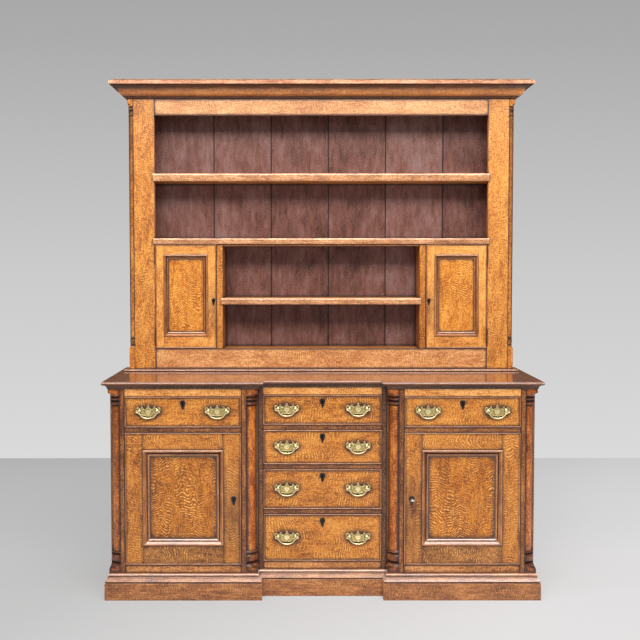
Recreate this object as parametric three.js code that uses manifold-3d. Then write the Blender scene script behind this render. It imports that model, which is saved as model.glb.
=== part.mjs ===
// Welsh dresser in oak: an inverted breakfront base of two cupboard wings and a bank of four drawers,
// with a plate rack above. Millimetres, +Z up, front towards -Y.
// The origin lies on the floor, midway across the width and between the back and the key's bow.
import * as THREE from 'three';
import { mergeVertices } from 'three/addons/utils/BufferGeometryUtils.js';
import Module from 'manifold-3d';

const wasm = await Module();
wasm.setup();

// Base, plan sizes
const BASE_WIDTH = 1756;
const BASE_DEPTH = 496;
const CENTRE_WIDTH = 532;
const RECESS = 50;
const BOARD_OVERHANG = 24;
const PLINTH_OVERHANG = 17;

// Base, heights
const SKIRTING_HEIGHT = 70;
const PLINTH_MOULDING_HEIGHT = 39;
const BOTTOM_RAIL_HEIGHT = 33;
const DOOR_OPENING_HEIGHT = 549;
const WING_RAIL_HEIGHT = 20;
const WING_DRAWER_OPENING = 128;
const TOP_RAIL_HEIGHT = 31;
const CAVETTO_HEIGHT = 18;
const BOARD_THICKNESS = 13;
const DRAWER_RAIL_HEIGHT = 20;
const centreDrawerShares = [126, 145, 168, 198];

// Base, member sizes
const STRIP_WIDTH = 21;
const CENTRE_STILE_WIDTH = 20;
const FRAME_THICKNESS = 22;
const PANEL_THICKNESS = 22;
const BACK_THICKNESS = 15;
const PLINTH_THICKNESS = 24;
const RUNNER_TREAD = 17;
const GUIDE_HEIGHT = 16;
const BACK_BOARD_WIDTH = 261;
const BACK_JOINT_OFFSET = 35;
const BACK_EDGE_BOARD = 90;
const BOARD_JOINT_WIDTH = 3;
const BOARD_JOINT_DEPTH = 2.5;

// Quarter columns of the base: a square corner post turned between its blocks
const COLUMN_SQUARE = 46.5;
const COLUMN_SHAFT_RADIUS = 36;
const COLUMN_TOP_BLOCK = 54;
const COLUMN_FOOT_BLOCK = 48;
const COLUMN_TOP_TURNING = 37;
const COLUMN_FOOT_TURNING = 40;
const COLUMN_TONGUE = 28;
const COLUMN_SEGMENTS = 32;

// Rack
const RACK_SETBACK = 23;
const RACK_DEPTH = 145;
const FOOT_OVERHANG = 21;
const FOOT_HEIGHT = 8;
const RACK_STILE_WIDTH = 93;
const RACK_FRAME_THICKNESS = 22;
const RACK_BOTTOM_RAIL = 93;
const RACK_CUPBOARD_HEIGHT = 464;
const SECOND_SHELF_THICKNESS = 27;
const SECOND_BAY_HEIGHT = 251;
const TOP_SHELF_THICKNESS = 35;
const TOP_BAY_HEIGHT = 256;
const FRIEZE_RAIL_HEIGHT = 72;
const CORNICE_HEIGHT = 76;
const CORNICE_OVERHANG = 70;
const MIDDLE_SHELF_THICKNESS = 29;
const MIDDLE_SHELF_HEIGHT = 196;
const SHELF_NOSE = 8;
const SHELF_LAP = 7;
const NOSE_ROUND = 10;
const NOSE_STEPS = 4;
const CENTRE_STRIP_HEIGHT = 9;
const POST_WIDTH = 26;
const RACK_CUPBOARD_WIDTH = 272.5;
const RACK_FLOOR_THICKNESS = 18;
const DUST_BOARD_THICKNESS = 15;
const RACK_COLUMN_SQUARE = 24;
const RACK_COLUMN_SHAFT = 20;
const RACK_COLUMN_TOP_BLOCK = 35;
const RACK_COLUMN_FOOT_BLOCK = 105;
const RACK_COLUMN_TURNING = 42;
const RACK_COLUMN_TONGUE = 16;
const RACK_COLUMN_SEGMENTS = 24;

// Doors
const DOOR_THICKNESS = 22;
const DOOR_GAP = 1.5;
const HINGE_GAP = 0.8;
const DOOR_STILE = 73;
const DOOR_TOP_RAIL = 71;
const DOOR_BOTTOM_RAIL = 79;
const DOOR_MOULDING = 30;
const RACK_DOOR_STILE = 38;
const RACK_DOOR_TOP_RAIL = 45;
const RACK_DOOR_BOTTOM_RAIL = 53;
const RACK_DOOR_MOULDING = 21;
const MOULDING_RISE = 7;
const PANEL_RECESS = 9;

// Drawers
const DRAWER_GAP = 1;
const RUNNING_GAP = 0.3;
const DRAWER_FRONT = 22;
const DRAWER_SIDE = 12;
const DRAWER_BOTTOM = 8;
const DRAWER_BOTTOM_RISE = 8;
const DRAWER_SIDE_DROP = 12;
const DRAWER_BACK_DROP = 10;
const DRAWER_BACK_CLEARANCE = 25;
const BEAD_WIDTH = 4;
const BEAD_RISE = 2.5;

// Keyholes, key and lock
const KEYHOLE_RADIUS = 4;
const KEYHOLE_SLOT_WIDTH = 4;
const KEYHOLE_SLOT_LENGTH = 13;
const KEYHOLE_SIDES = 12;
const DRAWER_KEY_DROP = 26;
const DOOR_KEY_INSET = 30;
const RACK_KEY_INSET = 14;
const RACK_KEY_DROP = 18;
const KEY_SHANK_RADIUS = 2.5;
const KEY_REACH = 40;
const KEY_BOW_WIDTH = 20;
const KEY_BOW_LENGTH = 15;
const KEY_BOW_THICKNESS = 3.2;
const KEY_BOW_WALL = 3.4;
const BOW_SEGMENTS = 20;
const KEY_BIT_REACH = 11;
const KEY_BIT_THICKNESS = 3;
const BOLT_HEIGHT = 16;
const BOLT_THICKNESS = 8;
const BOLT_LENGTH = 50;
const BOLT_RISE = 7;
const BOLT_THROW = 8;
const BOLT_SETBACK = 1;
const LOCK_GAP = 0.3;
const LOCK_ROOM = 1;
const KEY_SEAT_DEPTH = 4;
const CHAMBER_SEGMENTS = 20;
const TALON_DEPTH = 5.5;

// Bail handles
const HANDLE_WIDTH = 104;
const HANDLE_RISE = 23.5;
const HANDLE_DROP = 23;
const HANDLE_INSET_WING = 97.5;
const HANDLE_INSET_CENTRE = 98;
const HANDLE_LIFT = 6;
const PLATE_THICKNESS = 2.5;
const POST_SPACING = 72;
const POST_HEAD_RADIUS = 5.2;
const POST_NECK_RADIUS = 3.4;
const POST_REACH = 8.5;
const BAIL_RADIUS = 2.3;
const BAIL_WIDTH = 97;
const BAIL_DROP = 30.5;
const PIN_GAP = 0.3;
const BAIL_SIDES = 6;
const BAIL_STEPS = 20;
const POST_SIDES = 8;
const SHANK_SIDES = 6;
const SHANK_RADIUS = 2.6;
const NUT_RADIUS = 6;
const NUT_THICKNESS = 4;

// Overrun of a cutting body past the face that it cuts
const OVERRUN = 4;

// Derived plan places
const half = BASE_WIDTH / 2;
const centreHalf = CENTRE_WIDTH / 2;
const frontReach = Math.max(KEY_REACH, BOARD_OVERHANG, PLINTH_OVERHANG);
const yBack = (BASE_DEPTH + frontReach) / 2;
const yWing = yBack - BASE_DEPTH;
const yCentre = yWing + RECESS;
const yBackPanel = yBack - BACK_THICKNESS;
const yColumn = yWing + COLUMN_SQUARE;
const xOuterColumn = half - COLUMN_SQUARE;
const xInnerColumn = centreHalf + COLUMN_SQUARE;
const xWingOuter = xOuterColumn - STRIP_WIDTH;
const xWingInner = xInnerColumn + STRIP_WIDTH;
const xCentreOpening = centreHalf - CENTRE_STILE_WIDTH;
const yPost = yColumn + FRAME_THICKNESS;

// Derived heights
const zPlinth = SKIRTING_HEIGHT + PLINTH_MOULDING_HEIGHT;
const zBottom = zPlinth + BOTTOM_RAIL_HEIGHT;
const zDoorTop = zBottom + DOOR_OPENING_HEIGHT;
const zWingDrawer = zDoorTop + WING_RAIL_HEIGHT;
const zTopRail = zWingDrawer + WING_DRAWER_OPENING;
const zCavetto = zTopRail + TOP_RAIL_HEIGHT;
const zBoard = zCavetto + CAVETTO_HEIGHT;
const zBoardTop = zBoard + BOARD_THICKNESS;

// Derived rack places
const rackHalf = half - RACK_SETBACK;
const yRack = yBack - RACK_DEPTH;
const yRackFrame = yRack + RACK_FRAME_THICKNESS;
const xRackEnd = rackHalf - RACK_COLUMN_SQUARE;
const xRackOpening = xRackEnd - RACK_STILE_WIDTH;
const xPostOuter = xRackOpening - RACK_CUPBOARD_WIDTH;
const xPostInner = xPostOuter - POST_WIDTH;
const zRack = zBoardTop + FOOT_HEIGHT;
const zRackFloor = zRack + RACK_BOTTOM_RAIL;
const zSecondShelf = zRackFloor + RACK_CUPBOARD_HEIGHT;
const zSecondTop = zSecondShelf + SECOND_SHELF_THICKNESS;
const zTopShelf = zSecondTop + SECOND_BAY_HEIGHT;
const zTopShelfTop = zTopShelf + TOP_SHELF_THICKNESS;
const zFrieze = zTopShelfTop + TOP_BAY_HEIGHT;
const zCornice = zFrieze + FRIEZE_RAIL_HEIGHT;
const zTop = zCornice + CORNICE_HEIGHT;
const zMiddleShelf = zRackFloor + MIDDLE_SHELF_HEIGHT;

// Finishes
function finish(color, roughness, metalness = 0) {
  return new THREE.MeshStandardMaterial({ color, roughness, metalness });
}
const OAK = { color: '#b97438', roughness: 0.42 };
const OAK_DARK = { color: '#7c4a26', roughness: 0.5 };
const OAK_COLUMN = { color: '#a35c2c', roughness: 0.4 };
const OAK_BOARD = { color: '#96583a', roughness: 0.2 };
const BACK_STAIN = { color: '#46302b', roughness: 0.55 };
const BRASS = { color: '#cdbb84', roughness: 0.32, metalness: 0.9 };
const STEEL = { color: '#9a968e', roughness: 0.4, metalness: 0.85 };

// Solids from three.js geometry
function solidOf(geometry) {
  const bare = geometry.clone();
  bare.deleteAttribute('normal');
  bare.deleteAttribute('uv');
  const merged = mergeVertices(bare);
  const vertProperties = new Float32Array(merged.attributes.position.array);
  const triVerts = new Uint32Array(merged.index.array);
  return new wasm.Manifold(new wasm.Mesh({ numProp: 3, vertProperties, triVerts }));
}

function geometryOf(solid) {
  const mesh = solid.getMesh();
  const geometry = new THREE.BufferGeometry();
  const points = new Float32Array(mesh.vertProperties);
  geometry.setAttribute('position', new THREE.BufferAttribute(points, mesh.numProp));
  geometry.setIndex(new THREE.BufferAttribute(new Uint32Array(mesh.triVerts), 1));
  geometry.computeVertexNormals();
  return geometry;
}

function span(a, b) {
  return a < b ? [a, b] : [b, a];
}

function grown([low, high], gap) {
  return [low - gap, high + gap];
}

function union(...solids) {
  return solids.reduce((joined, next) => joined.add(next));
}

function box(x, y, z) {
  const geometry = new THREE.BoxGeometry(x[1] - x[0], y[1] - y[0], z[1] - z[0]);
  geometry.translate((x[0] + x[1]) / 2, (y[0] + y[1]) / 2, (z[0] + z[1]) / 2);
  return solidOf(geometry);
}

const AXIS_X = new THREE.Vector3(1, 0, 0);
const AXIS_Y = new THREE.Vector3(0, 1, 0);
const AXIS_Z = new THREE.Vector3(0, 0, 1);

function prism(points, length, basis) {
  const shape = new THREE.Shape(points.map(([a, b]) => new THREE.Vector2(a, b)));
  const geometry = new THREE.ExtrudeGeometry(shape, { depth: length, bevelEnabled: false });
  geometry.applyMatrix4(basis);
  return geometry;
}

// An outline of x and z, drawn out along Y
function prismY(points, y) {
  const basis = new THREE.Matrix4().makeBasis(AXIS_X, AXIS_Z, AXIS_Y.clone().negate());
  const geometry = prism(points, y[1] - y[0], basis);
  geometry.translate(0, y[1], 0);
  return solidOf(geometry);
}

// An outline of y and z, drawn out along X
function prismX(points, x) {
  const basis = new THREE.Matrix4().makeBasis(AXIS_Y, AXIS_Z, AXIS_X);
  const geometry = prism(points, x[1] - x[0], basis);
  geometry.translate(x[0], 0, 0);
  return solidOf(geometry);
}

// An outline of x and y, drawn out along Z
function prismZ(points, z) {
  const geometry = prism(points, z[1] - z[0], new THREE.Matrix4());
  geometry.translate(0, 0, z[0]);
  return solidOf(geometry);
}

// A turned body on a vertical axis, from [radius, z] points that start and end on the axis
function turned(profile, segments, x, y) {
  const points = profile.map(([radius, z]) => new THREE.Vector2(radius, z));
  const geometry = new THREE.LatheGeometry(points, segments);
  geometry.rotateX(Math.PI / 2);
  geometry.translate(x, y, 0);
  return solidOf(geometry);
}

// A cylinder along Y
function rodY(radius, y, x, z, sides) {
  const geometry = new THREE.CylinderGeometry(radius, radius, y[1] - y[0], sides);
  geometry.translate(x, (y[0] + y[1]) / 2, z);
  return solidOf(geometry);
}

// A cylinder along X
function rodX(radius, x, y, z, sides) {
  const geometry = new THREE.CylinderGeometry(radius, radius, x[1] - x[0], sides);
  geometry.rotateZ(Math.PI / 2);
  geometry.translate((x[0] + x[1]) / 2, y, z);
  return solidOf(geometry);
}

function arc(cx, cy, radiusX, radiusY, from, to, steps) {
  return Array.from({ length: steps + 1 }, (_, i) => {
    const angle = from + ((to - from) * i) / steps;
    return [cx + radiusX * Math.cos(angle), cy + radiusY * Math.sin(angle)];
  });
}

// Mouldings: a profile lists [projection, z] from its foot to its head
function profileFrom(shares, projection, z, height) {
  return shares.map(([out, up]) => [out * projection, z + up * height]);
}

// A block with the profile on its front and both sides, mitred at the corners
function mouldedBlock(x, y, profile) {
  const left = profile.map(([out, z]) => [x[0] - out, z]);
  const right = profile.map(([out, z]) => [x[1] + out, z]).reverse();
  const front = profile.map(([out, z]) => [y[0] - out, z]);
  const back = [
    [y[1], profile.at(-1)[1]],
    [y[1], profile[0][1]],
  ];
  const reach = Math.max(...profile.map(([out]) => Math.abs(out))) + OVERRUN;
  const across = prismY([...left, ...right], [y[0] - reach, y[1]]);
  const along = prismX([...front, ...back], [x[0] - reach, x[1] + reach]);
  return across.intersect(along);
}

// The same profile round the breakfront plan of the base
function breakfront(profile) {
  const front = profile.map(([out, z]) => [yCentre - out, z]);
  const back = [
    [yBack, profile.at(-1)[1]],
    [yBack, profile[0][1]],
  ];
  const middle = (centreHalf + half) / 2;
  return union(
    mouldedBlock([-half, -centreHalf], [yWing, yBack], profile),
    mouldedBlock([centreHalf, half], [yWing, yBack], profile),
    prismX([...front, ...back], [-middle, middle]),
  );
}

// The plain plan of the base, set in by a wall
function planOf(wall, backWall, z) {
  return union(
    box([-half + wall, -centreHalf - wall], [yWing + wall, yBack - backWall], z),
    box([centreHalf + wall, half - wall], [yWing + wall, yBack - backWall], z),
    box([-half + wall, half - wall], [yCentre + wall, yBack - backWall], z),
  );
}

const dresser = new THREE.Group();

function place(parent, name, solid, look) {
  const mesh = new THREE.Mesh(geometryOf(solid), finish(look.color, look.roughness, look.metalness));
  mesh.name = name;
  parent.add(mesh);
}

// Plinth: skirting with a stepped moulding above it, open underneath
const plinthShares = [
  [1, 0],
  [1, 0.625],
  [0.92, 0.645],
  [0.6, 0.65],
  [0.6, 0.69],
  [0.9, 0.71],
  [0.9, 0.735],
  [0.72, 0.79],
  [0.45, 0.845],
  [0.35, 0.885],
  [0.12, 0.9],
  [0.12, 0.925],
  [0.26, 0.945],
  [0.26, 0.98],
  [0.15, 1],
];

function plinth() {
  const profile = profileFrom(plinthShares, PLINTH_OVERHANG, 0, zPlinth);
  const hollow = planOf(PLINTH_THICKNESS, PLINTH_THICKNESS, grown([0, zPlinth], OVERRUN));
  return breakfront(profile).subtract(hollow);
}

// Base board with the cavetto moulding glued beneath its edge
const cavettoShares = [
  [0.1, 0],
  [0.12, 0.1],
  [0.24, 0.3],
  [0.42, 0.58],
  [0.62, 0.8],
  [0.76, 0.92],
  [0.76, 1],
];
const boardNoseShares = [
  [0.86, 0.04],
  [0.96, 0.2],
  [1, 0.45],
  [1, 0.65],
  [0.95, 0.88],
  [0.86, 1],
];

function baseBoard() {
  const profile = [
    ...profileFrom(cavettoShares, BOARD_OVERHANG, zCavetto, CAVETTO_HEIGHT),
    ...profileFrom(boardNoseShares, BOARD_OVERHANG, zBoard, BOARD_THICKNESS),
  ];
  return breakfront(profile).subtract(planOf(0, -OVERRUN, [zCavetto - OVERRUN, zBoard]));
}

// Base ends and partitions: a panel with a post at its front, behind the quarter column
function uprightPanel(face, axis, zFoot, yEnd) {
  const inward = Math.sign(axis - face);
  return union(
    box(span(face, face + inward * PANEL_THICKNESS), [yColumn, yEnd], [zFoot, zBoard]),
    box(span(face, axis), [yColumn, yPost], [zFoot, zBoard]),
  );
}

function baseBottom() {
  const xEnd = half - PANEL_THICKNESS;
  const side = [
    [xInnerColumn, yCentre + FRAME_THICKNESS],
    [xInnerColumn, yPost],
    [xWingInner, yPost],
    [xWingInner, yWing + FRAME_THICKNESS],
    [xWingOuter, yWing + FRAME_THICKNESS],
    [xWingOuter, yPost],
    [xEnd, yPost],
    [xEnd, yBackPanel],
  ];
  const mirrored = side.map(([x, y]) => [-x, y]).reverse();
  const floor = prismZ([...mirrored, ...side], [zBottom - PANEL_THICKNESS, zBottom]);
  const yGuide = [yCentre + FRAME_THICKNESS, yBackPanel];
  const zGuide = [zBottom - PANEL_THICKNESS / 2, zBottom + GUIDE_HEIGHT];
  const guide = (side) => box(span(side * centreHalf, side * xCentreOpening), yGuide, zGuide);
  return union(floor, guide(-1), guide(1));
}

// Vertical boards side by side, their joints shown as shallow grooves on both faces
function boardedBack(xHalf, z) {
  const reach = Math.ceil(xHalf / BACK_BOARD_WIDTH);
  const steps = Array.from({ length: 2 * reach + 1 }, (_, i) => i - reach);
  const joints = steps
    .map((step) => BACK_JOINT_OFFSET + step * BACK_BOARD_WIDTH)
    .filter((joint) => Math.abs(joint) <= xHalf - BACK_EDGE_BOARD);
  const groove = (joint, y, depth) => [
    [joint - BOARD_JOINT_WIDTH / 2, y],
    [joint, y + depth],
    [joint + BOARD_JOINT_WIDTH / 2, y],
  ];
  const front = joints.flatMap((joint) => groove(joint, yBackPanel, BOARD_JOINT_DEPTH));
  const rear = joints.flatMap((joint) => groove(joint, yBack, -BOARD_JOINT_DEPTH)).reverse();
  const faceLine = [[-xHalf, yBackPanel], ...front, [xHalf, yBackPanel]];
  const rearLine = [[xHalf, yBack], ...rear, [-xHalf, yBack]];
  return prismZ([...faceLine, ...rearLine], z);
}

// Tread and guide that carry one side of a drawer, level with the top of the rail before them
function runner(xWall, xOpening, zRun, yRail, yWall) {
  const inward = Math.sign(xOpening - xWall);
  const xTread = xOpening + inward * RUNNER_TREAD;
  const zUnder = zRun - DRAWER_RAIL_HEIGHT;
  return union(
    box(span(xOpening, xTread), [yRail, yBackPanel], [zUnder, zRun]),
    box(span(xWall, xTread), [yWall, yBackPanel], [zUnder, zRun]),
    box(span(xWall, xOpening), [yWall, yBackPanel], [zUnder, zRun + GUIDE_HEIGHT]),
  );
}

// Face frame of a wing: strips beside the columns, three rails, and the drawer's runners
function wingFrame(side) {
  const across = (inner, outer) => span(side * inner, side * outer);
  const yFace = [yWing, yWing + FRAME_THICKNESS];
  const yInRail = yWing + FRAME_THICKNESS / 2;
  const rails = across(xWingInner - STRIP_WIDTH / 2, xWingOuter + STRIP_WIDTH / 2);
  return union(
    box(across(xInnerColumn, xWingInner), [yWing, yPost], [zPlinth, zBoard]),
    box(across(xWingOuter, xOuterColumn), [yWing, yPost], [zPlinth, zBoard]),
    box(rails, yFace, [zPlinth, zBottom]),
    box(rails, yFace, [zDoorTop, zWingDrawer]),
    box(rails, yFace, [zTopRail, zBoard]),
    runner(side * (centreHalf + PANEL_THICKNESS), side * xWingInner, zWingDrawer, yInRail, yPost),
    runner(side * (half - PANEL_THICKNESS), side * xWingOuter, zWingDrawer, yInRail, yPost),
  );
}

// Openings of the centre bank, from the top down, graduated by their shares of its height
const centreOpenings = (() => {
  const total = centreDrawerShares.reduce((sum, share) => sum + share);
  const rails = (centreDrawerShares.length - 1) * DRAWER_RAIL_HEIGHT;
  const room = zTopRail - zBottom - rails;
  let zHead = zTopRail;
  return centreDrawerShares.map((share) => {
    const zFoot = zHead - (room * share) / total;
    const opening = [zFoot, zHead];
    zHead = zFoot - DRAWER_RAIL_HEIGHT;
    return opening;
  });
})();

function centreFrame() {
  const yFace = [yCentre, yCentre + FRAME_THICKNESS];
  const yInRail = yCentre + FRAME_THICKNESS / 2;
  const xRail = centreHalf - CENTRE_STILE_WIDTH / 2;
  const rails = [-xRail, xRail];
  const parts = [
    box([-centreHalf, -xCentreOpening], yFace, [zPlinth, zBoard]),
    box([xCentreOpening, centreHalf], yFace, [zPlinth, zBoard]),
    box(rails, yFace, [zPlinth, zBottom]),
    box(rails, yFace, [zTopRail, zBoard]),
  ];
  for (const [zFoot] of centreOpenings.slice(0, -1)) {
    parts.push(box(rails, yFace, [zFoot - DRAWER_RAIL_HEIGHT, zFoot]));
    for (const side of [-1, 1]) {
      parts.push(runner(side * centreHalf, side * xCentreOpening, zFoot, yInRail, yInRail));
    }
  }
  return union(...parts);
}

// Turned stretches of a corner post: [share of the depth between shaft and square, share of the height]
const topTurningShares = [
  [0, 0],
  [-0.2, 0.06],
  [-0.2, 0.12],
  [0.3, 0.16],
  [0.5, 0.25],
  [0.5, 0.38],
  [0.3, 0.46],
  [-0.2, 0.5],
  [-0.2, 0.67],
  [0.2, 0.71],
  [0.32, 0.8],
  [0.2, 0.92],
  [-0.05, 0.96],
];
const footTurningShares = [
  [-0.15, 0.05],
  [-0.15, 0.16],
  [0.3, 0.2],
  [0.5, 0.31],
  [0.5, 0.54],
  [0.3, 0.66],
  [-0.15, 0.7],
  [-0.15, 0.82],
  [0.25, 0.86],
  [0.25, 0.97],
  [0, 1],
];
const tongueShares = [
  [0, 0],
  [0.3, 0.07],
  [0.62, 0.3],
  [0.86, 0.62],
  [1, 1],
];

// A quarter of that post: its axis stands at [x, y], and its square sides face -Y and the given side
function quarterColumn({ x, y, side, z, square, shaft, tongue, ...turning }) {
  const { foot, footTurning, top, topTurning, segments } = turning;
  const corner = square * Math.SQRT2 + OVERRUN;
  const zFoot = z[0] + foot;
  const zHead = z[1] - top;
  const turnedPart = (shares, zStart, height) =>
    shares.map(([out, up]) => [shaft + out * (square - shaft), zStart + up * height]);
  const tonguePart = (zSquare, rise) =>
    tongueShares.map(([out, up]) => [corner - out * (corner - shaft), zSquare + up * rise]);
  const profile = [
    [0, z[0] - OVERRUN],
    [corner, z[0] - OVERRUN],
    ...tonguePart(zFoot - tongue, tongue),
    ...turnedPart(footTurningShares, zFoot, footTurning),
    ...turnedPart(topTurningShares, zHead - topTurning, topTurning),
    ...tonguePart(zHead + tongue, -tongue).reverse(),
    [corner, z[1] + OVERRUN],
    [0, z[1] + OVERRUN],
  ];
  const quadrant = box(span(x, x + side * square), [y - square, y], z);
  return turned(profile, segments, x, y).intersect(quadrant);
}

function baseColumn(x, side) {
  return quarterColumn({
    x,
    y: yColumn,
    side,
    square: COLUMN_SQUARE,
    shaft: COLUMN_SHAFT_RADIUS,
    tongue: COLUMN_TONGUE,
    z: [zPlinth, zBoard],
    foot: COLUMN_FOOT_BLOCK,
    footTurning: COLUMN_FOOT_TURNING,
    top: COLUMN_TOP_BLOCK,
    topTurning: COLUMN_TOP_TURNING,
    segments: COLUMN_SEGMENTS,
  });
}

// Rack face: stiles and rails round the open shelves, on a thin foot board
function rackFrame() {
  const yFace = [yRack, yRackFrame];
  const xFoot = rackHalf + FOOT_OVERHANG;
  const rails = [-xRackEnd + RACK_STILE_WIDTH / 2, xRackEnd - RACK_STILE_WIDTH / 2];
  return union(
    box([-xRackEnd, -xRackOpening], yFace, [zBoardTop + FOOT_HEIGHT / 2, zCornice]),
    box([xRackOpening, xRackEnd], yFace, [zBoardTop + FOOT_HEIGHT / 2, zCornice]),
    box(rails, yFace, [zBoardTop + FOOT_HEIGHT / 2, zRackFloor]),
    box(rails, yFace, [zFrieze, zCornice]),
    box([-xFoot, xFoot], [yRack - FOOT_OVERHANG, yBack], [zBoardTop, zRack]),
  );
}

function rackEnd(side) {
  const yAxis = yRack + RACK_COLUMN_SQUARE;
  const column = quarterColumn({
    x: side * xRackEnd,
    y: yAxis,
    side,
    square: RACK_COLUMN_SQUARE,
    shaft: RACK_COLUMN_SHAFT,
    tongue: RACK_COLUMN_TONGUE,
    z: [zRack, zCornice],
    foot: RACK_COLUMN_FOOT_BLOCK,
    footTurning: RACK_COLUMN_TURNING,
    top: RACK_COLUMN_TOP_BLOCK,
    topTurning: RACK_COLUMN_TURNING,
    segments: RACK_COLUMN_SEGMENTS,
  });
  return column.add(box(span(side * xRackEnd, side * rackHalf), [yAxis, yBack], [zRack, zCornice]));
}

// A shelf from the back boards to a rounded nose that stands proud of the face and laps its sides
function shelf(xNose, xFace, xBody, z) {
  const yNose = yRack - SHELF_NOSE;
  const plan = [
    [-xNose, yNose],
    [xNose, yNose],
    [xNose, yRack],
    [xFace, yRack],
    [xFace, yRackFrame],
    [xBody, yRackFrame],
    [xBody, yBackPanel],
  ];
  const mirrored = plan.slice(2).map(([x, y]) => [-x, y]).reverse();
  const radius = Math.min(NOSE_ROUND, (z[1] - z[0]) / 2);
  const lower = arc(yNose + radius, z[0] + radius, radius, radius, Math.PI * 1.5, Math.PI, NOSE_STEPS);
  const upper = arc(yNose + radius, z[1] - radius, radius, radius, Math.PI, Math.PI / 2, NOSE_STEPS);
  const section = [...lower, ...upper, [yBackPanel + OVERRUN, z[1]], [yBackPanel + OVERRUN, z[0]]];
  const outline = prismZ([...plan, ...mirrored], [z[0] - OVERRUN, z[1] + OVERRUN]);
  return outline.intersect(prismX(section, [-xBody - OVERRUN, xBody + OVERRUN]));
}

function secondShelf() {
  const strip = box(
    [-xPostInner, xPostInner],
    [yRack, yRackFrame],
    [zSecondShelf - CENTRE_STRIP_HEIGHT, zSecondShelf + CENTRE_STRIP_HEIGHT],
  );
  return shelf(xRackOpening + SHELF_LAP, xRackOpening, xRackEnd, [zSecondShelf, zSecondTop]).add(strip);
}

// Floor and two partitions of the rack's small cupboards, the partitions' front edges showing as posts
function cupboardCase() {
  const zUnder = zRackFloor - RACK_FLOOR_THICKNESS;
  const partition = (side) => {
    const x = span(side * xPostInner, side * xPostOuter);
    return union(
      box(x, [yRack, yBackPanel], [zRackFloor, zSecondShelf]),
      box(x, [yRackFrame, yBackPanel], [zUnder, zSecondShelf]),
    );
  };
  const floor = box([-xRackEnd, xRackEnd], [yRackFrame, yBackPanel], [zUnder, zRackFloor]);
  return union(floor, partition(-1), partition(1));
}

// Cornice with its dust board, hollow underneath
const corniceShares = [
  [0.06, 0],
  [0.09, 0.05],
  [0.22, 0.08],
  [0.33, 0.16],
  [0.37, 0.25],
  [0.39, 0.3],
  [0.44, 0.42],
  [0.56, 0.54],
  [0.76, 0.63],
  [0.86, 0.66],
  [0.86, 0.69],
  [0.95, 0.71],
  [1, 0.8],
  [1, 0.9],
  [0.95, 1],
];

function cornice() {
  const profile = profileFrom(corniceShares, CORNICE_OVERHANG, zCornice, CORNICE_HEIGHT);
  const zHollow = [zCornice - OVERRUN, zTop - DUST_BOARD_THICKNESS];
  const hollow = box([-xRackEnd, xRackEnd], [yRackFrame, yBack + OVERRUN], zHollow);
  return mouldedBlock([-rackHalf, rackHalf], [yRack, yBack], profile).subtract(hollow);
}

// A bead round a door or a drawer front, standing proud of its face
function cockbead(x, z, yFace) {
  const ring = box(x, [yFace - BEAD_RISE, yFace + BEAD_WIDTH], z);
  const yInner = [yFace - BEAD_RISE - OVERRUN, yFace + BEAD_WIDTH + OVERRUN];
  return ring.subtract(box(grown(x, -BEAD_WIDTH), yInner, grown(z, -BEAD_WIDTH)));
}

// A rectangle that changes with depth: steps list [inset, y] from front to back
function steppedRectangle(x, z, steps) {
  const outline = (low, high, turn) => [
    ...steps.map(([inset, y]) => turn(low + inset, y)),
    ...steps.map(([inset, y]) => turn(high - inset, y)).reverse(),
  ];
  const inX = outline(x[0], x[1], (across, y) => [across, y]);
  const inZ = outline(z[0], z[1], (up, y) => [y, up]);
  return prismZ(inX, grown(z, OVERRUN)).intersect(prismX(inZ, grown(x, OVERRUN)));
}

function keyhole(x, z, y) {
  const slot = box([x - KEYHOLE_SLOT_WIDTH / 2, x + KEYHOLE_SLOT_WIDTH / 2], y, [z - KEYHOLE_SLOT_LENGTH, z]);
  return rodY(KEYHOLE_RADIUS, y, x, z, KEYHOLE_SIDES).add(slot);
}

// Planted moulding of a door: [share of its width, share of its rise below 0 or of the panel's recess above]
const plantedShares = [
  [0.1, -1],
  [0, -0.5],
  [0, 0.5],
];
const sunkShares = [
  [0.3, -1],
  [0.42, -0.4],
  [0.6, 0],
  [0.82, 0.35],
  [0.9, 0.5],
  [0.9, 0.75],
  [1, 1],
];

// A panelled door: frame, planted moulding, sunk panel, and a keyhole of the given depth
function door({ x, z, yFace, stile, topRail, bottomRail, moulding, key }) {
  const xPanel = [x[0] + stile, x[1] - stile];
  const zPanel = [z[0] + bottomRail, z[1] - topRail];
  const step = ([out, depth]) => [out * moulding, yFace + depth * (depth < 0 ? MOULDING_RISE : PANEL_RECESS)];
  const planted = steppedRectangle(xPanel, zPanel, plantedShares.map(step));
  const steps = sunkShares.map(step);
  const mouth = [steps[0][0], steps[0][1] - OVERRUN];
  const sunk = steppedRectangle(xPanel, zPanel, [mouth, ...steps]);
  return box(x, [yFace, yFace + DOOR_THICKNESS], z)
    .add(planted)
    .add(cockbead(x, z, yFace))
    .subtract(sunk)
    .subtract(keyhole(key.x, key.z, [yFace - OVERRUN, yFace + key.depth]));
}

const zDoor = [zBottom + DOOR_GAP, zDoorTop - DOOR_GAP];
const zRackKey = (zRackFloor + zSecondShelf) / 2 - RACK_KEY_DROP;
const zRackDoor = [zRackFloor + DOOR_GAP, zSecondShelf - DOOR_GAP];
const throughDoor = DOOR_THICKNESS + OVERRUN;
const baseKey = { x: xWingInner + DOOR_GAP + DOOR_KEY_INSET, z: (zBottom + zDoorTop) / 2 };

function baseDoor(side, keyDepth) {
  return door({
    x: span(side * (xWingInner + DOOR_GAP), side * (xWingOuter - HINGE_GAP)),
    z: zDoor,
    yFace: yWing,
    stile: DOOR_STILE,
    topRail: DOOR_TOP_RAIL,
    bottomRail: DOOR_BOTTOM_RAIL,
    moulding: DOOR_MOULDING,
    key: { x: side * baseKey.x, z: baseKey.z, depth: keyDepth },
  });
}

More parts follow.
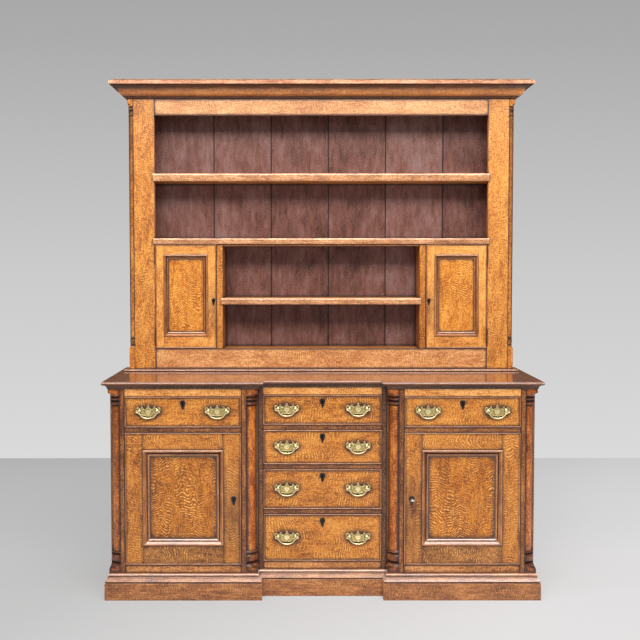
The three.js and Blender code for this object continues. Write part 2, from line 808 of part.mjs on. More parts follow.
function rackDoor(side) {
  return door({
    x: span(side * (xPostOuter + DOOR_GAP), side * (xRackOpening - HINGE_GAP)),
    z: zRackDoor,
    yFace: yRack,
    stile: RACK_DOOR_STILE,
    topRail: RACK_DOOR_TOP_RAIL,
    bottomRail: RACK_DOOR_BOTTOM_RAIL,
    moulding: RACK_DOOR_MOULDING,
    key: { x: side * (xPostOuter + RACK_KEY_INSET), z: zRackKey, depth: throughDoor },
  });
}

// A drawer: front with a cockbead round it, sides, back and bottom, drilled for its lock and handles
function drawer(x, z, yFace, handles) {
  const front = grown(z, -DRAWER_GAP);
  const wide = grown(x, -DRAWER_GAP);
  const between = grown(wide, -DRAWER_SIDE / 2);
  const yRear = yBackPanel - DRAWER_BACK_CLEARANCE;
  const ySide = [yFace + DRAWER_FRONT / 2, yRear];
  const zSide = [z[0] + RUNNING_GAP, front[1] - DRAWER_SIDE_DROP];
  const zFloor = z[0] + DRAWER_BOTTOM_RISE;
  const body = union(
    box(wide, [yFace, yFace + DRAWER_FRONT], front),
    cockbead(wide, front, yFace),
    box([wide[0], wide[0] + DRAWER_SIDE], ySide, zSide),
    box([wide[1] - DRAWER_SIDE, wide[1]], ySide, zSide),
    box(between, ySide, [zFloor, zFloor + DRAWER_BOTTOM]),
    box(between, [yRear - DRAWER_SIDE, yRear], [zFloor, zSide[1] - DRAWER_BACK_DROP]),
  );
  const yThrough = [yFace - OVERRUN, yFace + DRAWER_FRONT + OVERRUN];
  const lockHole = keyhole((x[0] + x[1]) / 2, front[1] - DRAWER_KEY_DROP, yThrough);
  const drilled = handles.xPosts.map((xPost) =>
    rodY(SHANK_RADIUS + PIN_GAP, yThrough, xPost, handles.z, SHANK_SIDES),
  );
  return body.subtract(union(lockHole, ...drilled));
}

// Lock of the right base door: bolt channel, key chamber, and the pocket in the strip
const lock = (() => {
  const xEdge = xWingInner + DOOR_GAP;
  const y = yWing + DOOR_THICKNESS / 2;
  const zBolt = [baseKey.z + BOLT_RISE, baseKey.z + BOLT_RISE + BOLT_HEIGHT];
  const xBolt = [xEdge + BOLT_SETBACK, xEdge + BOLT_SETBACK + BOLT_LENGTH];
  const yBolt = [y - BOLT_THICKNESS / 2, y + BOLT_THICKNESS / 2];
  return { xEdge, y, xBolt, yBolt, zBolt };
})();

function lockCavity() {
  const { xEdge, xBolt, yBolt, zBolt } = lock;
  const yCase = grown(yBolt, LOCK_GAP);
  const channel = box([xEdge - OVERRUN, xBolt[1] + LOCK_GAP], yCase, grown(zBolt, LOCK_GAP));
  const chamber = rodY(KEY_BIT_REACH + LOCK_ROOM, yCase, baseKey.x, baseKey.z, CHAMBER_SEGMENTS);
  const ySeat = [yCase[0], yCase[1] + KEY_SEAT_DEPTH];
  const seat = rodY(KEY_SHANK_RADIUS + LOCK_GAP, ySeat, baseKey.x, baseKey.z, KEYHOLE_SIDES);
  return union(channel, chamber, seat);
}

function lockPocket() {
  const { xEdge, yBolt, zBolt } = lock;
  const depth = BOLT_THROW + DOOR_GAP + LOCK_ROOM;
  return box([xEdge - depth, xEdge], grown(yBolt, 2 * LOCK_GAP), grown(zBolt, 2 * LOCK_GAP));
}

function lockBolt() {
  const { xBolt, yBolt, zBolt } = lock;
  const talon = [baseKey.x + BOLT_THROW / 2, baseKey.x + 2 * BOLT_THROW];
  const notch = box(talon, grown(yBolt, OVERRUN), [zBolt[0] - OVERRUN, zBolt[0] + TALON_DEPTH]);
  return box(xBolt, yBolt, zBolt).subtract(notch);
}

// The key in its lock, with its bow and bit level
function key() {
  const { yBolt } = lock;
  const yTip = yBolt[1] + KEY_SEAT_DEPTH;
  const yBow = yWing - KEY_REACH + KEY_BOW_LENGTH;
  const ring = (width, length, z) => {
    const yCentreOfBow = yBow - KEY_BOW_LENGTH / 2;
    const points = arc(baseKey.x, yCentreOfBow, width / 2, length / 2, 0, Math.PI * 2, BOW_SEGMENTS);
    return prismZ(points.slice(0, -1), z);
  };
  const zBow = [baseKey.z - KEY_BOW_THICKNESS / 2, baseKey.z + KEY_BOW_THICKNESS / 2];
  const zBit = [baseKey.z - KEY_BIT_THICKNESS / 2, baseKey.z + KEY_BIT_THICKNESS / 2];
  const eye = ring(KEY_BOW_WIDTH - 2 * KEY_BOW_WALL, KEY_BOW_LENGTH - 2 * KEY_BOW_WALL, grown(zBow, OVERRUN));
  const shank = rodY(KEY_SHANK_RADIUS, [yBow - KEY_BOW_WALL / 2, yTip], baseKey.x, baseKey.z, KEYHOLE_SIDES);
  const bow = ring(KEY_BOW_WIDTH, KEY_BOW_LENGTH, zBow).subtract(eye);
  return union(bow, shank, box([baseKey.x, baseKey.x + KEY_BIT_REACH], yBolt, zBit));
}

// Backplate: a bat-wing outline given as shares of half its width and of its rise and drop
const plateShares = [
  [0, 1],
  [0.06, 0.88],
  [0.045, 0.7],
  [0.12, 0.6],
  [0.2, 0.44],
  [0.34, 0.28],
  [0.45, 0.4],
  [0.52, 0.66],
  [0.58, 0.4],
  [0.7, 0.3],
  [0.8, 0.36],
  [0.88, 0.68],
  [0.97, 0.72],
  [1, 0.46],
  [0.94, 0.22],
  [0.88, 0],
  [0.83, -0.2],
  [0.74, -0.32],
  [0.63, -0.56],
  [0.5, -0.76],
  [0.33, -0.9],
  [0.15, -0.98],
];

function handlePlate() {
  const reach = HANDLE_WIDTH / 2;
  const outline = plateShares.map(([x, z]) => [x * reach, z * (z > 0 ? HANDLE_RISE : HANDLE_DROP)]);
  const left = outline.slice(1).map(([x, z]) => [-x, z]).reverse();
  const sheet = prismY([...outline, [0, -HANDLE_DROP], ...left], [-PLATE_THICKNESS, 0]);
  const yPin = -PLATE_THICKNESS - POST_REACH;
  const post = (x) => {
    const head = new THREE.SphereGeometry(POST_HEAD_RADIUS, POST_SIDES, POST_SIDES / 2);
    head.rotateX(Math.PI / 2);
    head.translate(x, yPin, 0);
    return union(
      rodY(POST_NECK_RADIUS, [yPin, -PLATE_THICKNESS / 2], x, 0, SHANK_SIDES),
      solidOf(head),
      rodY(SHANK_RADIUS, [-PLATE_THICKNESS / 2, DRAWER_FRONT + NUT_THICKNESS / 2], x, 0, SHANK_SIDES),
      rodY(NUT_RADIUS, [DRAWER_FRONT, DRAWER_FRONT + NUT_THICKNESS], x, 0, SHANK_SIDES),
    );
  };
  const pinHoles = rodX(BAIL_RADIUS + PIN_GAP, [-HANDLE_WIDTH, HANDLE_WIDTH], yPin, 0, POST_SIDES);
  return union(sheet, post(-POST_SPACING / 2), post(POST_SPACING / 2)).subtract(pinHoles);
}

// Bail: a swan-neck bow whose level ends turn in the posts; shares of half its width and of its drop
const bailShares = [
  [0.95, -0.05],
  [1, -0.12],
  [0.94, -0.21],
  [0.8, -0.28],
  [0.67, -0.46],
  [0.52, -0.74],
  [0.36, -0.9],
  [0.16, -0.98],
];

function bail() {
  const reach = BAIL_WIDTH / 2;
  const right = [
    [POST_SPACING / 2 - POST_HEAD_RADIUS / 2, 0],
    [POST_SPACING / 2 + POST_HEAD_RADIUS, 0],
    ...bailShares.map(([x, z]) => [x * reach, z * BAIL_DROP]),
  ];
  const left = right.map(([x, z]) => [-x, z]).reverse();
  const points = [...right, [0, -BAIL_DROP], ...left].map(([x, z]) => new THREE.Vector3(x, 0, z));
  const path = new THREE.CatmullRomCurve3(points, false, 'centripetal');
  const section = new THREE.Shape(
    arc(0, 0, BAIL_RADIUS, BAIL_RADIUS, 0, Math.PI * 2, BAIL_SIDES)
      .slice(0, -1)
      .map(([a, b]) => new THREE.Vector2(a, b)),
  );
  const options = { steps: BAIL_STEPS, extrudePath: path, bevelEnabled: false };
  return solidOf(new THREE.ExtrudeGeometry(section, options));
}

// Assembly
const base = new THREE.Group();
place(base, 'plinth', plinth(), OAK);
place(base, 'base_board', baseBoard(), OAK_BOARD);
place(base, 'base_bottom', baseBottom(), OAK_DARK);
place(base, 'base_back', boardedBack(half - PANEL_THICKNESS, [zPlinth, zBoard]), OAK_DARK);
place(base, 'centre_frame', centreFrame(), OAK);
for (const [name, side] of [['left', -1], ['right', 1]]) {
  const frame = wingFrame(side);
  place(base, `wing_frame_${name}`, side > 0 ? frame.subtract(lockPocket()) : frame, OAK);
  const baseEnd = uprightPanel(side * half, side * xOuterColumn, zPlinth, yBack);
  const partition = uprightPanel(side * centreHalf, side * xInnerColumn, zBottom, yBackPanel);
  place(base, `base_end_${name}`, baseEnd, OAK);
  place(base, `partition_${name}`, partition, OAK_DARK);
  place(base, `outer_column_${name}`, baseColumn(side * xOuterColumn, side), OAK_COLUMN);
  place(base, `inner_column_${name}`, baseColumn(side * xInnerColumn, -side), OAK_COLUMN);
}

const rack = new THREE.Group();
place(rack, 'rack_frame', rackFrame(), OAK);
place(rack, 'rack_end_left', rackEnd(-1), OAK);
place(rack, 'rack_end_right', rackEnd(1), OAK);
place(rack, 'rack_back', boardedBack(xRackEnd, [zRack, zTop - DUST_BOARD_THICKNESS]), BACK_STAIN);
place(rack, 'cupboard_case', cupboardCase(), OAK);
place(rack, 'second_shelf', secondShelf(), OAK);
const topShelf = shelf(xRackOpening + SHELF_LAP, xRackOpening, xRackEnd, [zTopShelf, zTopShelfTop]);
place(rack, 'top_shelf', topShelf, OAK);
const zMiddle = [zMiddleShelf, zMiddleShelf + MIDDLE_SHELF_THICKNESS];
place(rack, 'middle_shelf', shelf(xPostInner + SHELF_LAP, xPostInner, xPostInner, zMiddle), OAK);
place(rack, 'cornice', cornice(), OAK);

const doors = new THREE.Group();
place(doors, 'base_door_left', baseDoor(-1, throughDoor), OAK);
place(doors, 'base_door_right', baseDoor(1, DOOR_THICKNESS / 2).subtract(lockCavity()), OAK);
place(doors, 'rack_door_left', rackDoor(-1), OAK);
place(doors, 'rack_door_right', rackDoor(1), OAK);
place(doors, 'lock_bolt', lockBolt(), STEEL);
place(doors, 'key', key(), STEEL);

const drawers = new THREE.Group();
const plateSolid = handlePlate();
const bailSolid = bail();

function hang(name, end, x, y, z) {
  const handle = new THREE.Group();
  place(handle, `${name}_plate_${end}`, plateSolid, BRASS);
  const bow = new THREE.Group();
  bow.position.set(0, -PLATE_THICKNESS - POST_REACH, 0);
  place(bow, `${name}_bail_${end}`, bailSolid, BRASS);
  handle.add(bow);
  handle.position.set(x, y, z);
  drawers.add(handle);
}

// A drawer in its opening, with a handle at either side
function fitDrawer(name, x, z, yFace, inset) {
  const zHandle = (z[0] + z[1]) / 2 + HANDLE_LIFT;
  const centres = [x[0] + inset, x[1] - inset];
  const xPosts = centres.flatMap((centre) => [centre - POST_SPACING / 2, centre + POST_SPACING / 2]);
  place(drawers, name, drawer(x, z, yFace, { xPosts, z: zHandle }), OAK);
  hang(name, 'left', centres[0], yFace, zHandle);
  hang(name, 'right', centres[1], yFace, zHandle);
}

for (const [name, side] of [['left', -1], ['right', 1]]) {
  const xOpening = span(side * xWingInner, side * xWingOuter);
  fitDrawer(`wing_drawer_${name}`, xOpening, [zWingDrawer, zTopRail], yWing, HANDLE_INSET_WING);
}
centreOpenings.forEach((zOpening, index) => {
  const xOpening = [-xCentreOpening, xCentreOpening];
  fitDrawer(`centre_drawer_${index + 1}`, xOpening, zOpening, yCentre, HANDLE_INSET_CENTRE);
});

dresser.add(base, rack, doors, drawers);

export default dresser;
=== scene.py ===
"""Looks of an oak welsh dresser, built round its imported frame.

Metres, +Z up, front towards -Y. Every piece of joinery is made of separate members, and each member carries
its own run of grain as a mesh attribute, so that stiles, rails, panels and mitred mouldings read as timber.
"""

from __future__ import annotations

import logging
import math
import random
import zlib
from dataclasses import dataclass
from enum import Enum
from typing import Callable, Iterable, Sequence

import bmesh
import bpy
import numpy as np
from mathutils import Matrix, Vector


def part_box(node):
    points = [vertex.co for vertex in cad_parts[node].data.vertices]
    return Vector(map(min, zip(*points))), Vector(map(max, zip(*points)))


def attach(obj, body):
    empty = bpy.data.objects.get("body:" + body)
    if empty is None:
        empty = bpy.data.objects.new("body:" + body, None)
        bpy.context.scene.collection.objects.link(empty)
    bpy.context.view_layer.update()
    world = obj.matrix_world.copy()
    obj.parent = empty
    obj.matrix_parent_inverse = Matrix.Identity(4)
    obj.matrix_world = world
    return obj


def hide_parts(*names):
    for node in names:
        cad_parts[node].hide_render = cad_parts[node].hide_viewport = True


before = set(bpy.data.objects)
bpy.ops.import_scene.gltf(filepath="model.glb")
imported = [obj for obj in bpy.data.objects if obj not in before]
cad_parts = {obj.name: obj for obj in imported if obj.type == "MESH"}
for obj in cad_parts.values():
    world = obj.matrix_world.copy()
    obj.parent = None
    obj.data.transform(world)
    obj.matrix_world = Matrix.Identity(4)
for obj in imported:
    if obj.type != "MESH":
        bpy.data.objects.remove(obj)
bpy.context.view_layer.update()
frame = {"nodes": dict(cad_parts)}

LOG = logging.getLogger("dresser")

Point = tuple[float, float]
Span = tuple[float, float]
Rgb = tuple[int, int, int]
Piece = bpy.types.Object
Socket = bpy.types.NodeSocket
Settings = dict[str, object]
Inputs = dict[int | str, object]
Soil = Callable[[Vector], float]

UP = Vector((0, 0, 1))
FRONT = Vector((0, -1, 0))

# Arrises and angles shared by all joinery
ARRIS = 0.0006
WORN_ARRIS = 0.0012
CRISP_ARRIS = 0.0004
SHARP_ANGLE = math.radians(34)
BEVEL_ANGLE = math.radians(28)
BEVEL_SEGMENTS = 2
CORNERS = ((0, 0), (1, 0), (1, 1), (0, 1))
# Offsets of the grain, in metres, are drawn up to this far
GRAIN_SHIFT = 9
# A face has no edge in the direction that it looks in: there its member counts as this much wider
FACING = 0.8
FAR = 10.0
ARC_STEPS = 5

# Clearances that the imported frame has
DOOR_GAP = 0.0015
HINGE_GAP = 0.0008
DRAWER_GAP = 0.001
RUNNING_GAP = 0.0003


class Grain(Enum):
    """Ways that a straight board's grain runs: the direction along it, then the direction across its face."""

    X = ((1, 0, 0), (0, 0, 1))
    Y = ((0, 1, 0), (1, 0, 0))
    Z = ((0, 0, 1), (1, 0, 0))


class Source(Enum):
    """Where a finish reads its pattern from."""

    MEMBERS = "grain"
    OBJECT = "Object"


@dataclass(frozen=True)
class Stop:
    """A point of an outline, as shares of a width and a height; bulge bends the line to it outwards."""

    out: float
    up: float
    bulge: float = 0.0


def arc_between(start: Vector, end: Vector, bulge: float, steps: int) -> list[Vector]:
    """Points of the arc from start to end, without start.

    Args:
        start: First point, in two dimensions.
        end: Last point.
        bulge: Tangent of a quarter of the arc's angle, positive to the right of the way, 0 for a line.
        steps: Number of points of a bent line.

    Returns:
        The points, end included.
    """
    if not bulge:
        return [end]
    middle, half = (start + end) / 2, (end - start) / 2
    centre = middle - Vector((half.y, -half.x)) * (1 - bulge**2) / (2 * bulge)
    arm, turn = start - centre, 4 * math.atan(bulge)
    points = []
    for i in range(1, steps + 1):
        cosine, sine = math.cos(turn * i / steps), math.sin(turn * i / steps)
        points.append(centre + Vector((arm.x * cosine - arm.y * sine, arm.x * sine + arm.y * cosine)))
    return points


def drawn(stops: Sequence[Stop], width: float, height: float, foot: float = 0.0,
          steps: int = ARC_STEPS) -> list[Point]:
    """Points of an outline given by stops.

    Args:
        stops: The outline's stops, from its foot to its head.
        width: Length that the out shares are of.
        height: Length that the up shares are of.
        foot: Height at which the up shares start.
        steps: Number of points on each bent line.

    Returns:
        The outline as (out, up) points in metres.
    """
    places = [Vector((stop.out * width, foot + stop.up * height)) for stop in stops]
    points = [places[0]]
    for start, end, stop in zip(places, places[1:], stops[1:]):
        points += arc_between(start, end, stop.bulge, steps)
    return [(point.x, point.y) for point in points]


def span(a: float, b: float) -> Span:
    """The two values in rising order."""
    return (a, b) if a < b else (b, a)


def grown(limits: Span, gap: float) -> Span:
    """The limits moved outwards by a gap."""
    return limits[0] - gap, limits[1] + gap


def mitres(path: Sequence[Vector], up: Vector, closed: bool) -> tuple[list[Vector], ...]:
    """Directions for sweeping a moulding along a path.

    Args:
        path: Corners of the path.
        up: Direction that the profile rises in.
        closed: Whether the path runs back to its first corner.

    Returns:
        The heading of each length, and the mitred outward step at each corner.
    """
    count = len(path)
    lengths = range(count if closed else count - 1)
    heads = [(path[(i + 1) % count] - path[i]).normalized() for i in lengths]
    outs = [head.cross(up) for head in heads]
    steps = []
    for i in range(count):
        before = outs[i - 1] if closed or i > 0 else outs[0]
        after = outs[i] if closed or i < count - 1 else outs[-1]
        steps.append((before + after) / (1 + before.dot(after)))
    return heads, steps


def compass(sides: int) -> list[Point]:
    """Points round a unit circle, evenly spaced."""
    turns = [2 * math.pi * i / sides for i in range(sides)]
    return [(math.cos(turn), math.sin(turn)) for turn in turns]


def mirrored(right: Sequence[Point]) -> list[Point]:
    """A closed outline from its right half, whose two ends lie on its middle line."""
    return [*right, *((-x, z) for x, z in right[-2:0:-1])]


def placed(name: str, data: bpy.types.ID) -> Piece:
    """Places a new object in the scene.

    Args:
        name: Its name.
        data: Mesh, light or camera that it holds.

    Returns:
        The object.
    """
    piece = bpy.data.objects.new(name, data)
    bpy.context.scene.collection.objects.link(piece)
    return piece


def keep(mesh: bpy.types.Mesh, name: str, domain: str, values: np.ndarray | Sequence[float]) -> None:
    """Keeps numbers in an attribute of a mesh.

    Args:
        mesh: The mesh.
        name: Name of the attribute.
        domain: What each of the numbers belongs to.
        values: The numbers, or rows of three numbers.
    """
    rows = np.asarray(values, dtype=float)
    kind, key = ("FLOAT_VECTOR", "vector") if rows.ndim > 1 else ("FLOAT", "value")
    mesh.attributes.new(name, kind, domain).data.foreach_set(key, rows.ravel())


class Joinery:
    """Gathers the closed members of one piece, each with its own run of grain and its own tone."""

    def __init__(self, seed: str) -> None:
        """Starts an empty piece.

        Args:
            seed: Text that fixes the random offsets of the grain.
        """
        self.mesh = bmesh.new()
        self.layer = self.mesh.faces.layers.int.new("member")
        self.axes: list[tuple[Vector, Vector, Vector]] = []
        self.shifts: list[Vector] = []
        self.tones: list[float] = []
        self.dice = random.Random(zlib.crc32(seed.encode()))

    def loft(self, rings: Sequence[Sequence[Vector]], along: Vector, across: Vector,
             arris: float = 0.0) -> None:
        """Adds a closed member through rings of points.

        Args:
            rings: Rings with as many points each, from one end to the other.
            along: Direction of the grain.
            across: Direction across the grain.
            arris: Width by which its sharp edges are eased.
        """
        verts = [[self.mesh.verts.new(point) for point in ring] for ring in rings]
        faces = [self.mesh.faces.new(verts[0][::-1]), self.mesh.faces.new(verts[-1])]
        for low, high in zip(verts, verts[1:]):
            for i, corner in enumerate(low):
                j = (i + 1) % len(low)
                faces.append(self.mesh.faces.new((corner, low[j], high[j], high[i])))
        bmesh.ops.recalc_face_normals(self.mesh, faces=faces)
        for face in faces:
            face[self.layer] = len(self.axes)
        if arris:
            edges = {edge for face in faces for edge in face.edges if edge.calc_face_angle(0.0) > BEVEL_ANGLE}
            bmesh.ops.bevel(self.mesh, geom=sorted(edges, key=lambda edge: edge.index), offset=arris,
                            segments=BEVEL_SEGMENTS, profile=0.5, affect="EDGES", clamp_overlap=True)
        self.axes.append((along, across, along.cross(across)))
        self.shifts.append(Vector(self.dice.uniform(-GRAIN_SHIFT, GRAIN_SHIFT) for _ in range(3)))
        self.tones.append(self.dice.uniform(-1, 1))

    def board(self, x: Span, y: Span, z: Span, grain: Grain, arris: float = ARRIS) -> None:
        """Adds a straight board between its limits in X, Y and Z, with eased edges."""
        rings = [[Vector((x[i], y[j], height)) for i, j in CORNERS] for height in z]
        self.loft(rings, Vector(grain.value[0]), Vector(grain.value[1]), arris)

    def moulding(self, profile: Sequence[Point], path: Sequence[Vector], up: Vector,
                 closed: bool = False) -> None:
        """Sweeps a profile along a path, mitred at its corners, each length a member of its own.

        Args:
            profile: Section as (out, up) points.
            path: Corners of the path.
            up: Direction that the profile rises in.
            closed: Whether the path runs back to its first corner.
        """
        heads, steps = mitres(path, up, closed)
        for i, head in enumerate(heads):
            ends = [(path[k], steps[k]) for k in (i, (i + 1) % len(path))]
            rings = [[corner + step * wide + up * rise for wide, rise in profile] for corner, step in ends]
            self.loft(rings, head, up)

    def slab(self, profile: Sequence[Point], path: Sequence[Vector], grain: Grain) -> None:
        """Adds a flat slab whose plan is an open path and whose edge follows a profile.

        Args:
            profile: Edge as (out, up) points, from the foot to the head.
            path: Corners of the plan, from one end of its straight back edge to the other.
            grain: Way that its grain runs.
        """
        steps = mitres(path, UP, False)[1]
        rings = [[corner + step * wide + UP * rise for corner, step in zip(path, steps)]
                 for wide, rise in profile]
        self.loft(rings, Vector(grain.value[0]), Vector(grain.value[1]))

    def turning(self, foot: Vector, along: Vector, profile: Sequence[Point], sides: int = 20) -> None:
        """Adds a turned body.

        Args:
            foot: Point of the axis where distances start.
            along: Direction of the axis.
            profile: (radius, distance) points along the axis.
            sides: Number of points in a ring.
        """
        first = along.orthogonal().normalized()
        second = along.cross(first)
        arms = [first * near + second * far for near, far in compass(sides)]
        rings = [[foot + along * far + arm * radius for arm in arms] for radius, far in profile]
        self.loft(rings, along, first)

    def quarter_post(self, axis: Point, side: float, square: float, profile: Sequence[Point],
                     steps: int = 20) -> None:
        """Adds a quarter of a post that is turned between square blocks, round to the front and one side.

        Args:
            axis: Place of the post's axis in plan.
            side: 1 where it faces +X, -1 where it faces -X.
            square: Distance from its axis to the flat sides of its blocks.
            profile: (radius, z) points from the foot to the head; the square cuts what reaches past it.
            steps: Number of steps round the quarter.
        """
        rings = []
        for radius, height in profile:
            ring = [Vector((*axis, height))]
            for i in range(steps + 1):
                cosine, sine = math.cos(math.pi / 2 * i / steps), math.sin(math.pi / 2 * i / steps)
                reach = min(radius, square / max(cosine, sine))
                ring.append(Vector((axis[0] + side * reach * cosine, axis[1] - reach * sine, height)))
            rings.append(ring)
        self.loft(rings, UP, Vector((1, 0, 0)))

    def cells(self, pitch: float) -> None:
        """Cuts all faces by upright and level planes, so that an attribute can vary over them.

        Args:
            pitch: Distance between neighbouring planes.
        """
        for way in (Vector((1, 0, 0)), UP):
            places = [way.dot(vert.co) for vert in self.mesh.verts]
            count = int((max(places) - min(places)) / pitch)
            for i in range(1, count):
                plane = way * (min(places) + (max(places) - min(places)) * i / count)
                geometry = [*self.mesh.verts, *self.mesh.edges, *self.mesh.faces]
                bmesh.ops.bisect_plane(self.mesh, geom=geometry, plane_co=plane, plane_no=way)

    def piece(self, name: str, finish: Finish, body: str = "case", replaces: Sequence[str] = (),
              cutters: Sequence[Joinery] = (), soil: Soil | None = None) -> Piece:
        """Turns the members into a dressed piece that rides on a body.

        Args:
            name: Name of the piece.
            finish: Its finish.
            body: Body that it rides on.
            replaces: CAD nodes that it stands for.
            cutters: Bodies cut out of it.
            soil: Share of darkening at a point: grime where the piece has been handled or rubbed, and painted
                shade where it has hollows or faces turned from the light.

        Returns:
            The piece.
        """
        wide = [face for face in self.mesh.faces if len(face.verts) > 4]
        bmesh.ops.triangulate(self.mesh, faces=wide)
        mesh = bpy.data.meshes.new(name)
        self.mesh.to_mesh(mesh)
        self.mesh.free()
        piece = placed(name, mesh)
        if cutters:
            carve(piece, cutters)
        members = np.zeros(len(piece.data.polygons), np.int32)
        piece.data.attributes["member"].data.foreach_get("value", members)
        write_members(piece.data, members, self.axes, self.shifts)
        keep(piece.data, "tone", "FACE", np.array(self.tones)[members])
        if soil:
            keep(piece.data, "soil", "POINT", [soil(vert.co) for vert in piece.data.vertices])
        return dress(piece, finish, body, replaces)


def carve(piece: Piece, cutters: Sequence[Joinery]) -> None:
    """Cuts bodies out of a piece's mesh.

    Args:
        piece: The piece, a single closed body.
        cutters: Bodies to cut out.
    """
    tools = []
    for cutter in cutters:
        mesh = bpy.data.meshes.new("cutter")
        cutter.mesh.to_mesh(mesh)
        tool = placed("cutter", mesh)
        modifier = piece.modifiers.new("cut", "BOOLEAN")
        modifier.operation = "DIFFERENCE"
        modifier.solver = "EXACT"
        modifier.object = tool
        tools.append(tool)
    settle(piece)
    for tool in tools:
        bpy.data.meshes.remove(tool.data)


def settle(piece: Piece) -> None:
    """Turns what a piece's modifiers make into its own mesh, and removes them."""
    graph = bpy.context.evaluated_depsgraph_get()
    mesh = bpy.data.meshes.new_from_object(piece.evaluated_get(graph))
    piece.modifiers.clear()
    piece.data = mesh


def write_members(mesh: bpy.types.Mesh, members: np.ndarray, directions: Sequence[Sequence[Vector]],
                  offsets: Sequence[Vector]) -> None:
    """Writes each member's grain coordinates, and the place on it, as attributes.

    Args:
        mesh: Mesh of the members.
        members: Number of the member that each face belongs to.
        directions: Directions along, across and through the grain of each member.
        offsets: How far the grain of each member is moved.
    """
    count = len(mesh.polygons)
    loops, corners = np.zeros(count, np.int32), np.zeros(len(mesh.loops), np.int32)
    mesh.polygons.foreach_get("loop_total", loops)
    mesh.loops.foreach_get("vertex_index", corners)
    places, normals = np.zeros(len(mesh.vertices) * 3), np.zeros(count * 3)
    mesh.vertices.foreach_get("co", places)
    mesh.polygons.foreach_get("normal", normals)
    ids = np.repeat(members, loops)
    axes, shifts = np.array(directions, dtype=float), np.array(offsets, dtype=float)
    run = np.einsum("nij,nj->ni", axes[ids], places.reshape(-1, 3)[corners])
    low, high = np.full((len(axes), 3), np.inf), np.full((len(axes), 3), -np.inf)
    np.minimum.at(low, ids, run)
    np.maximum.at(high, ids, run)
    facing = np.abs(np.einsum("nij,nj->ni", axes[members], normals.reshape(-1, 3)))
    keep(mesh, "grain", "CORNER", run + shifts[ids])
    keep(mesh, "rim", "CORNER", run - (low + high)[ids] / 2)
    keep(mesh, "half", "FACE", ((high - low) / 2)[members] + FAR * (facing > FACING))


def dress(piece: Piece, finish: Finish, body: str, replaces: Sequence[str] = ()) -> Piece:
    """Gives a piece its finish, smooth shading and body.

    Args:
        piece: The piece, in place.
        finish: Its finish.
        body: Body that it rides on.
        replaces: CAD nodes that it stands for.

    Returns:
        The piece.
    """
    piece.data.materials.clear()
    piece.data.materials.append(finish.material())
    piece.data.shade_smooth()
    piece.data.set_sharp_from_angle(angle=SHARP_ANGLE)
    normals = piece.modifiers.new("even_faces", "WEIGHTED_NORMAL")
    normals.keep_sharp = True
    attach(piece, body)
    if replaces:
        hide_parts(*replaces)
    LOG.info("%s: %d faces on %s", piece.name, len(piece.data.polygons), body)
    return piece


class Value:
    """A number that varies over a surface: a socket with the operators of plain arithmetic."""

    def __init__(self, shader: Shader, socket: Socket) -> None:
        """Wraps a socket of a shader's node."""
        self.shader = shader
        self.socket = socket

    def maths(self, operation: str, first: Value | float, second: Value | float = 0.0) -> Value:
        """The result of a Math node on two values."""
        node = self.shader.node("ShaderNodeMath", {"operation": operation}, {0: first, 1: second})
        return Value(self.shader, node.outputs[0])

    def __add__(self, other: Value | float) -> Value:
        """Sum."""
        return self.maths("ADD", self, other)

    def __sub__(self, other: Value | float) -> Value:
        """Difference."""
        return self.maths("SUBTRACT", self, other)

    def __neg__(self) -> Value:
        """The value with its sign turned."""
        return self.maths("MULTIPLY", self, -1.0)

    def __rsub__(self, other: float) -> Value:
        """Difference from a number."""
        return self.maths("SUBTRACT", other, self)

    def __mul__(self, other: Value | float) -> Value:
        """Product."""
        return self.maths("MULTIPLY", self, other)

    __radd__ = __add__
    __rmul__ = __mul__

    def wave(self) -> Value:
        """Sine of the value, taken as a number of turns."""
        return self.maths("SINE", self * (2 * math.pi))

    def eased(self, low: float, high: float) -> Value:
        """A smooth step from 0 at low to 1 at high."""
        inputs = {"Value": self, "From Min": low, "From Max": high}
        node = self.shader.node("ShaderNodeMapRange", {"interpolation_type": "SMOOTHSTEP"}, inputs)
        return Value(self.shader, node.outputs["Result"])


def linear(colour: Rgb) -> tuple[float, float, float, float]:
    """A screen colour of 0 to 255 as the linear colour that a shader takes."""
    shares = [part / 255 for part in colour]
    return (*(c / 12.92 if c <= 0.04045 else ((c + 0.055) / 1.055) ** 2.4 for c in shares), 1.0)


class NodeMaker:
    """Adds nodes to a tree."""

    def __init__(self, tree: bpy.types.NodeTree) -> None:
        """Takes the tree."""
        self.tree = tree

    def node(self, kind: str, settings: Settings | None = None,
             inputs: Inputs | None = None) -> bpy.types.Node:
        """Adds a node.

        Args:
            kind: Type of the node.
            settings: Its settings, made first; "stops" lists a ramp's (place, colour) pairs.
            inputs: Values, colours, sockets or Values for its inputs.

        Returns:
            The node.
        """
        node = self.tree.nodes.new(kind)
        for name, setting in (settings or {}).items():
            if name == "stops":
                self.ramp(node, setting)
            else:
                setattr(node, name, setting)
        for name, value in (inputs or {}).items():
            self.feed(node.inputs[name], value)
        return node

    def ramp(self, node: bpy.types.Node, stops: Sequence[tuple[float, Rgb]]) -> None:
        """Sets the stops of a colour ramp.

        Args:
            node: Node of the ramp.
            stops: Place and colour of each stop.
        """
        elements = node.color_ramp.elements
        while len(elements) < len(stops):
            elements.new(1.0)
        for element, (place, colour) in zip(elements, stops):
            element.position = place
            element.color = linear(colour)

    def feed(self, socket: Socket, value: object) -> None:
        """Links or sets a socket."""
        value = value.socket if isinstance(value, Value) else value
        if isinstance(value, Socket):
            self.tree.links.new(value, socket)
        else:
            socket.default_value = value


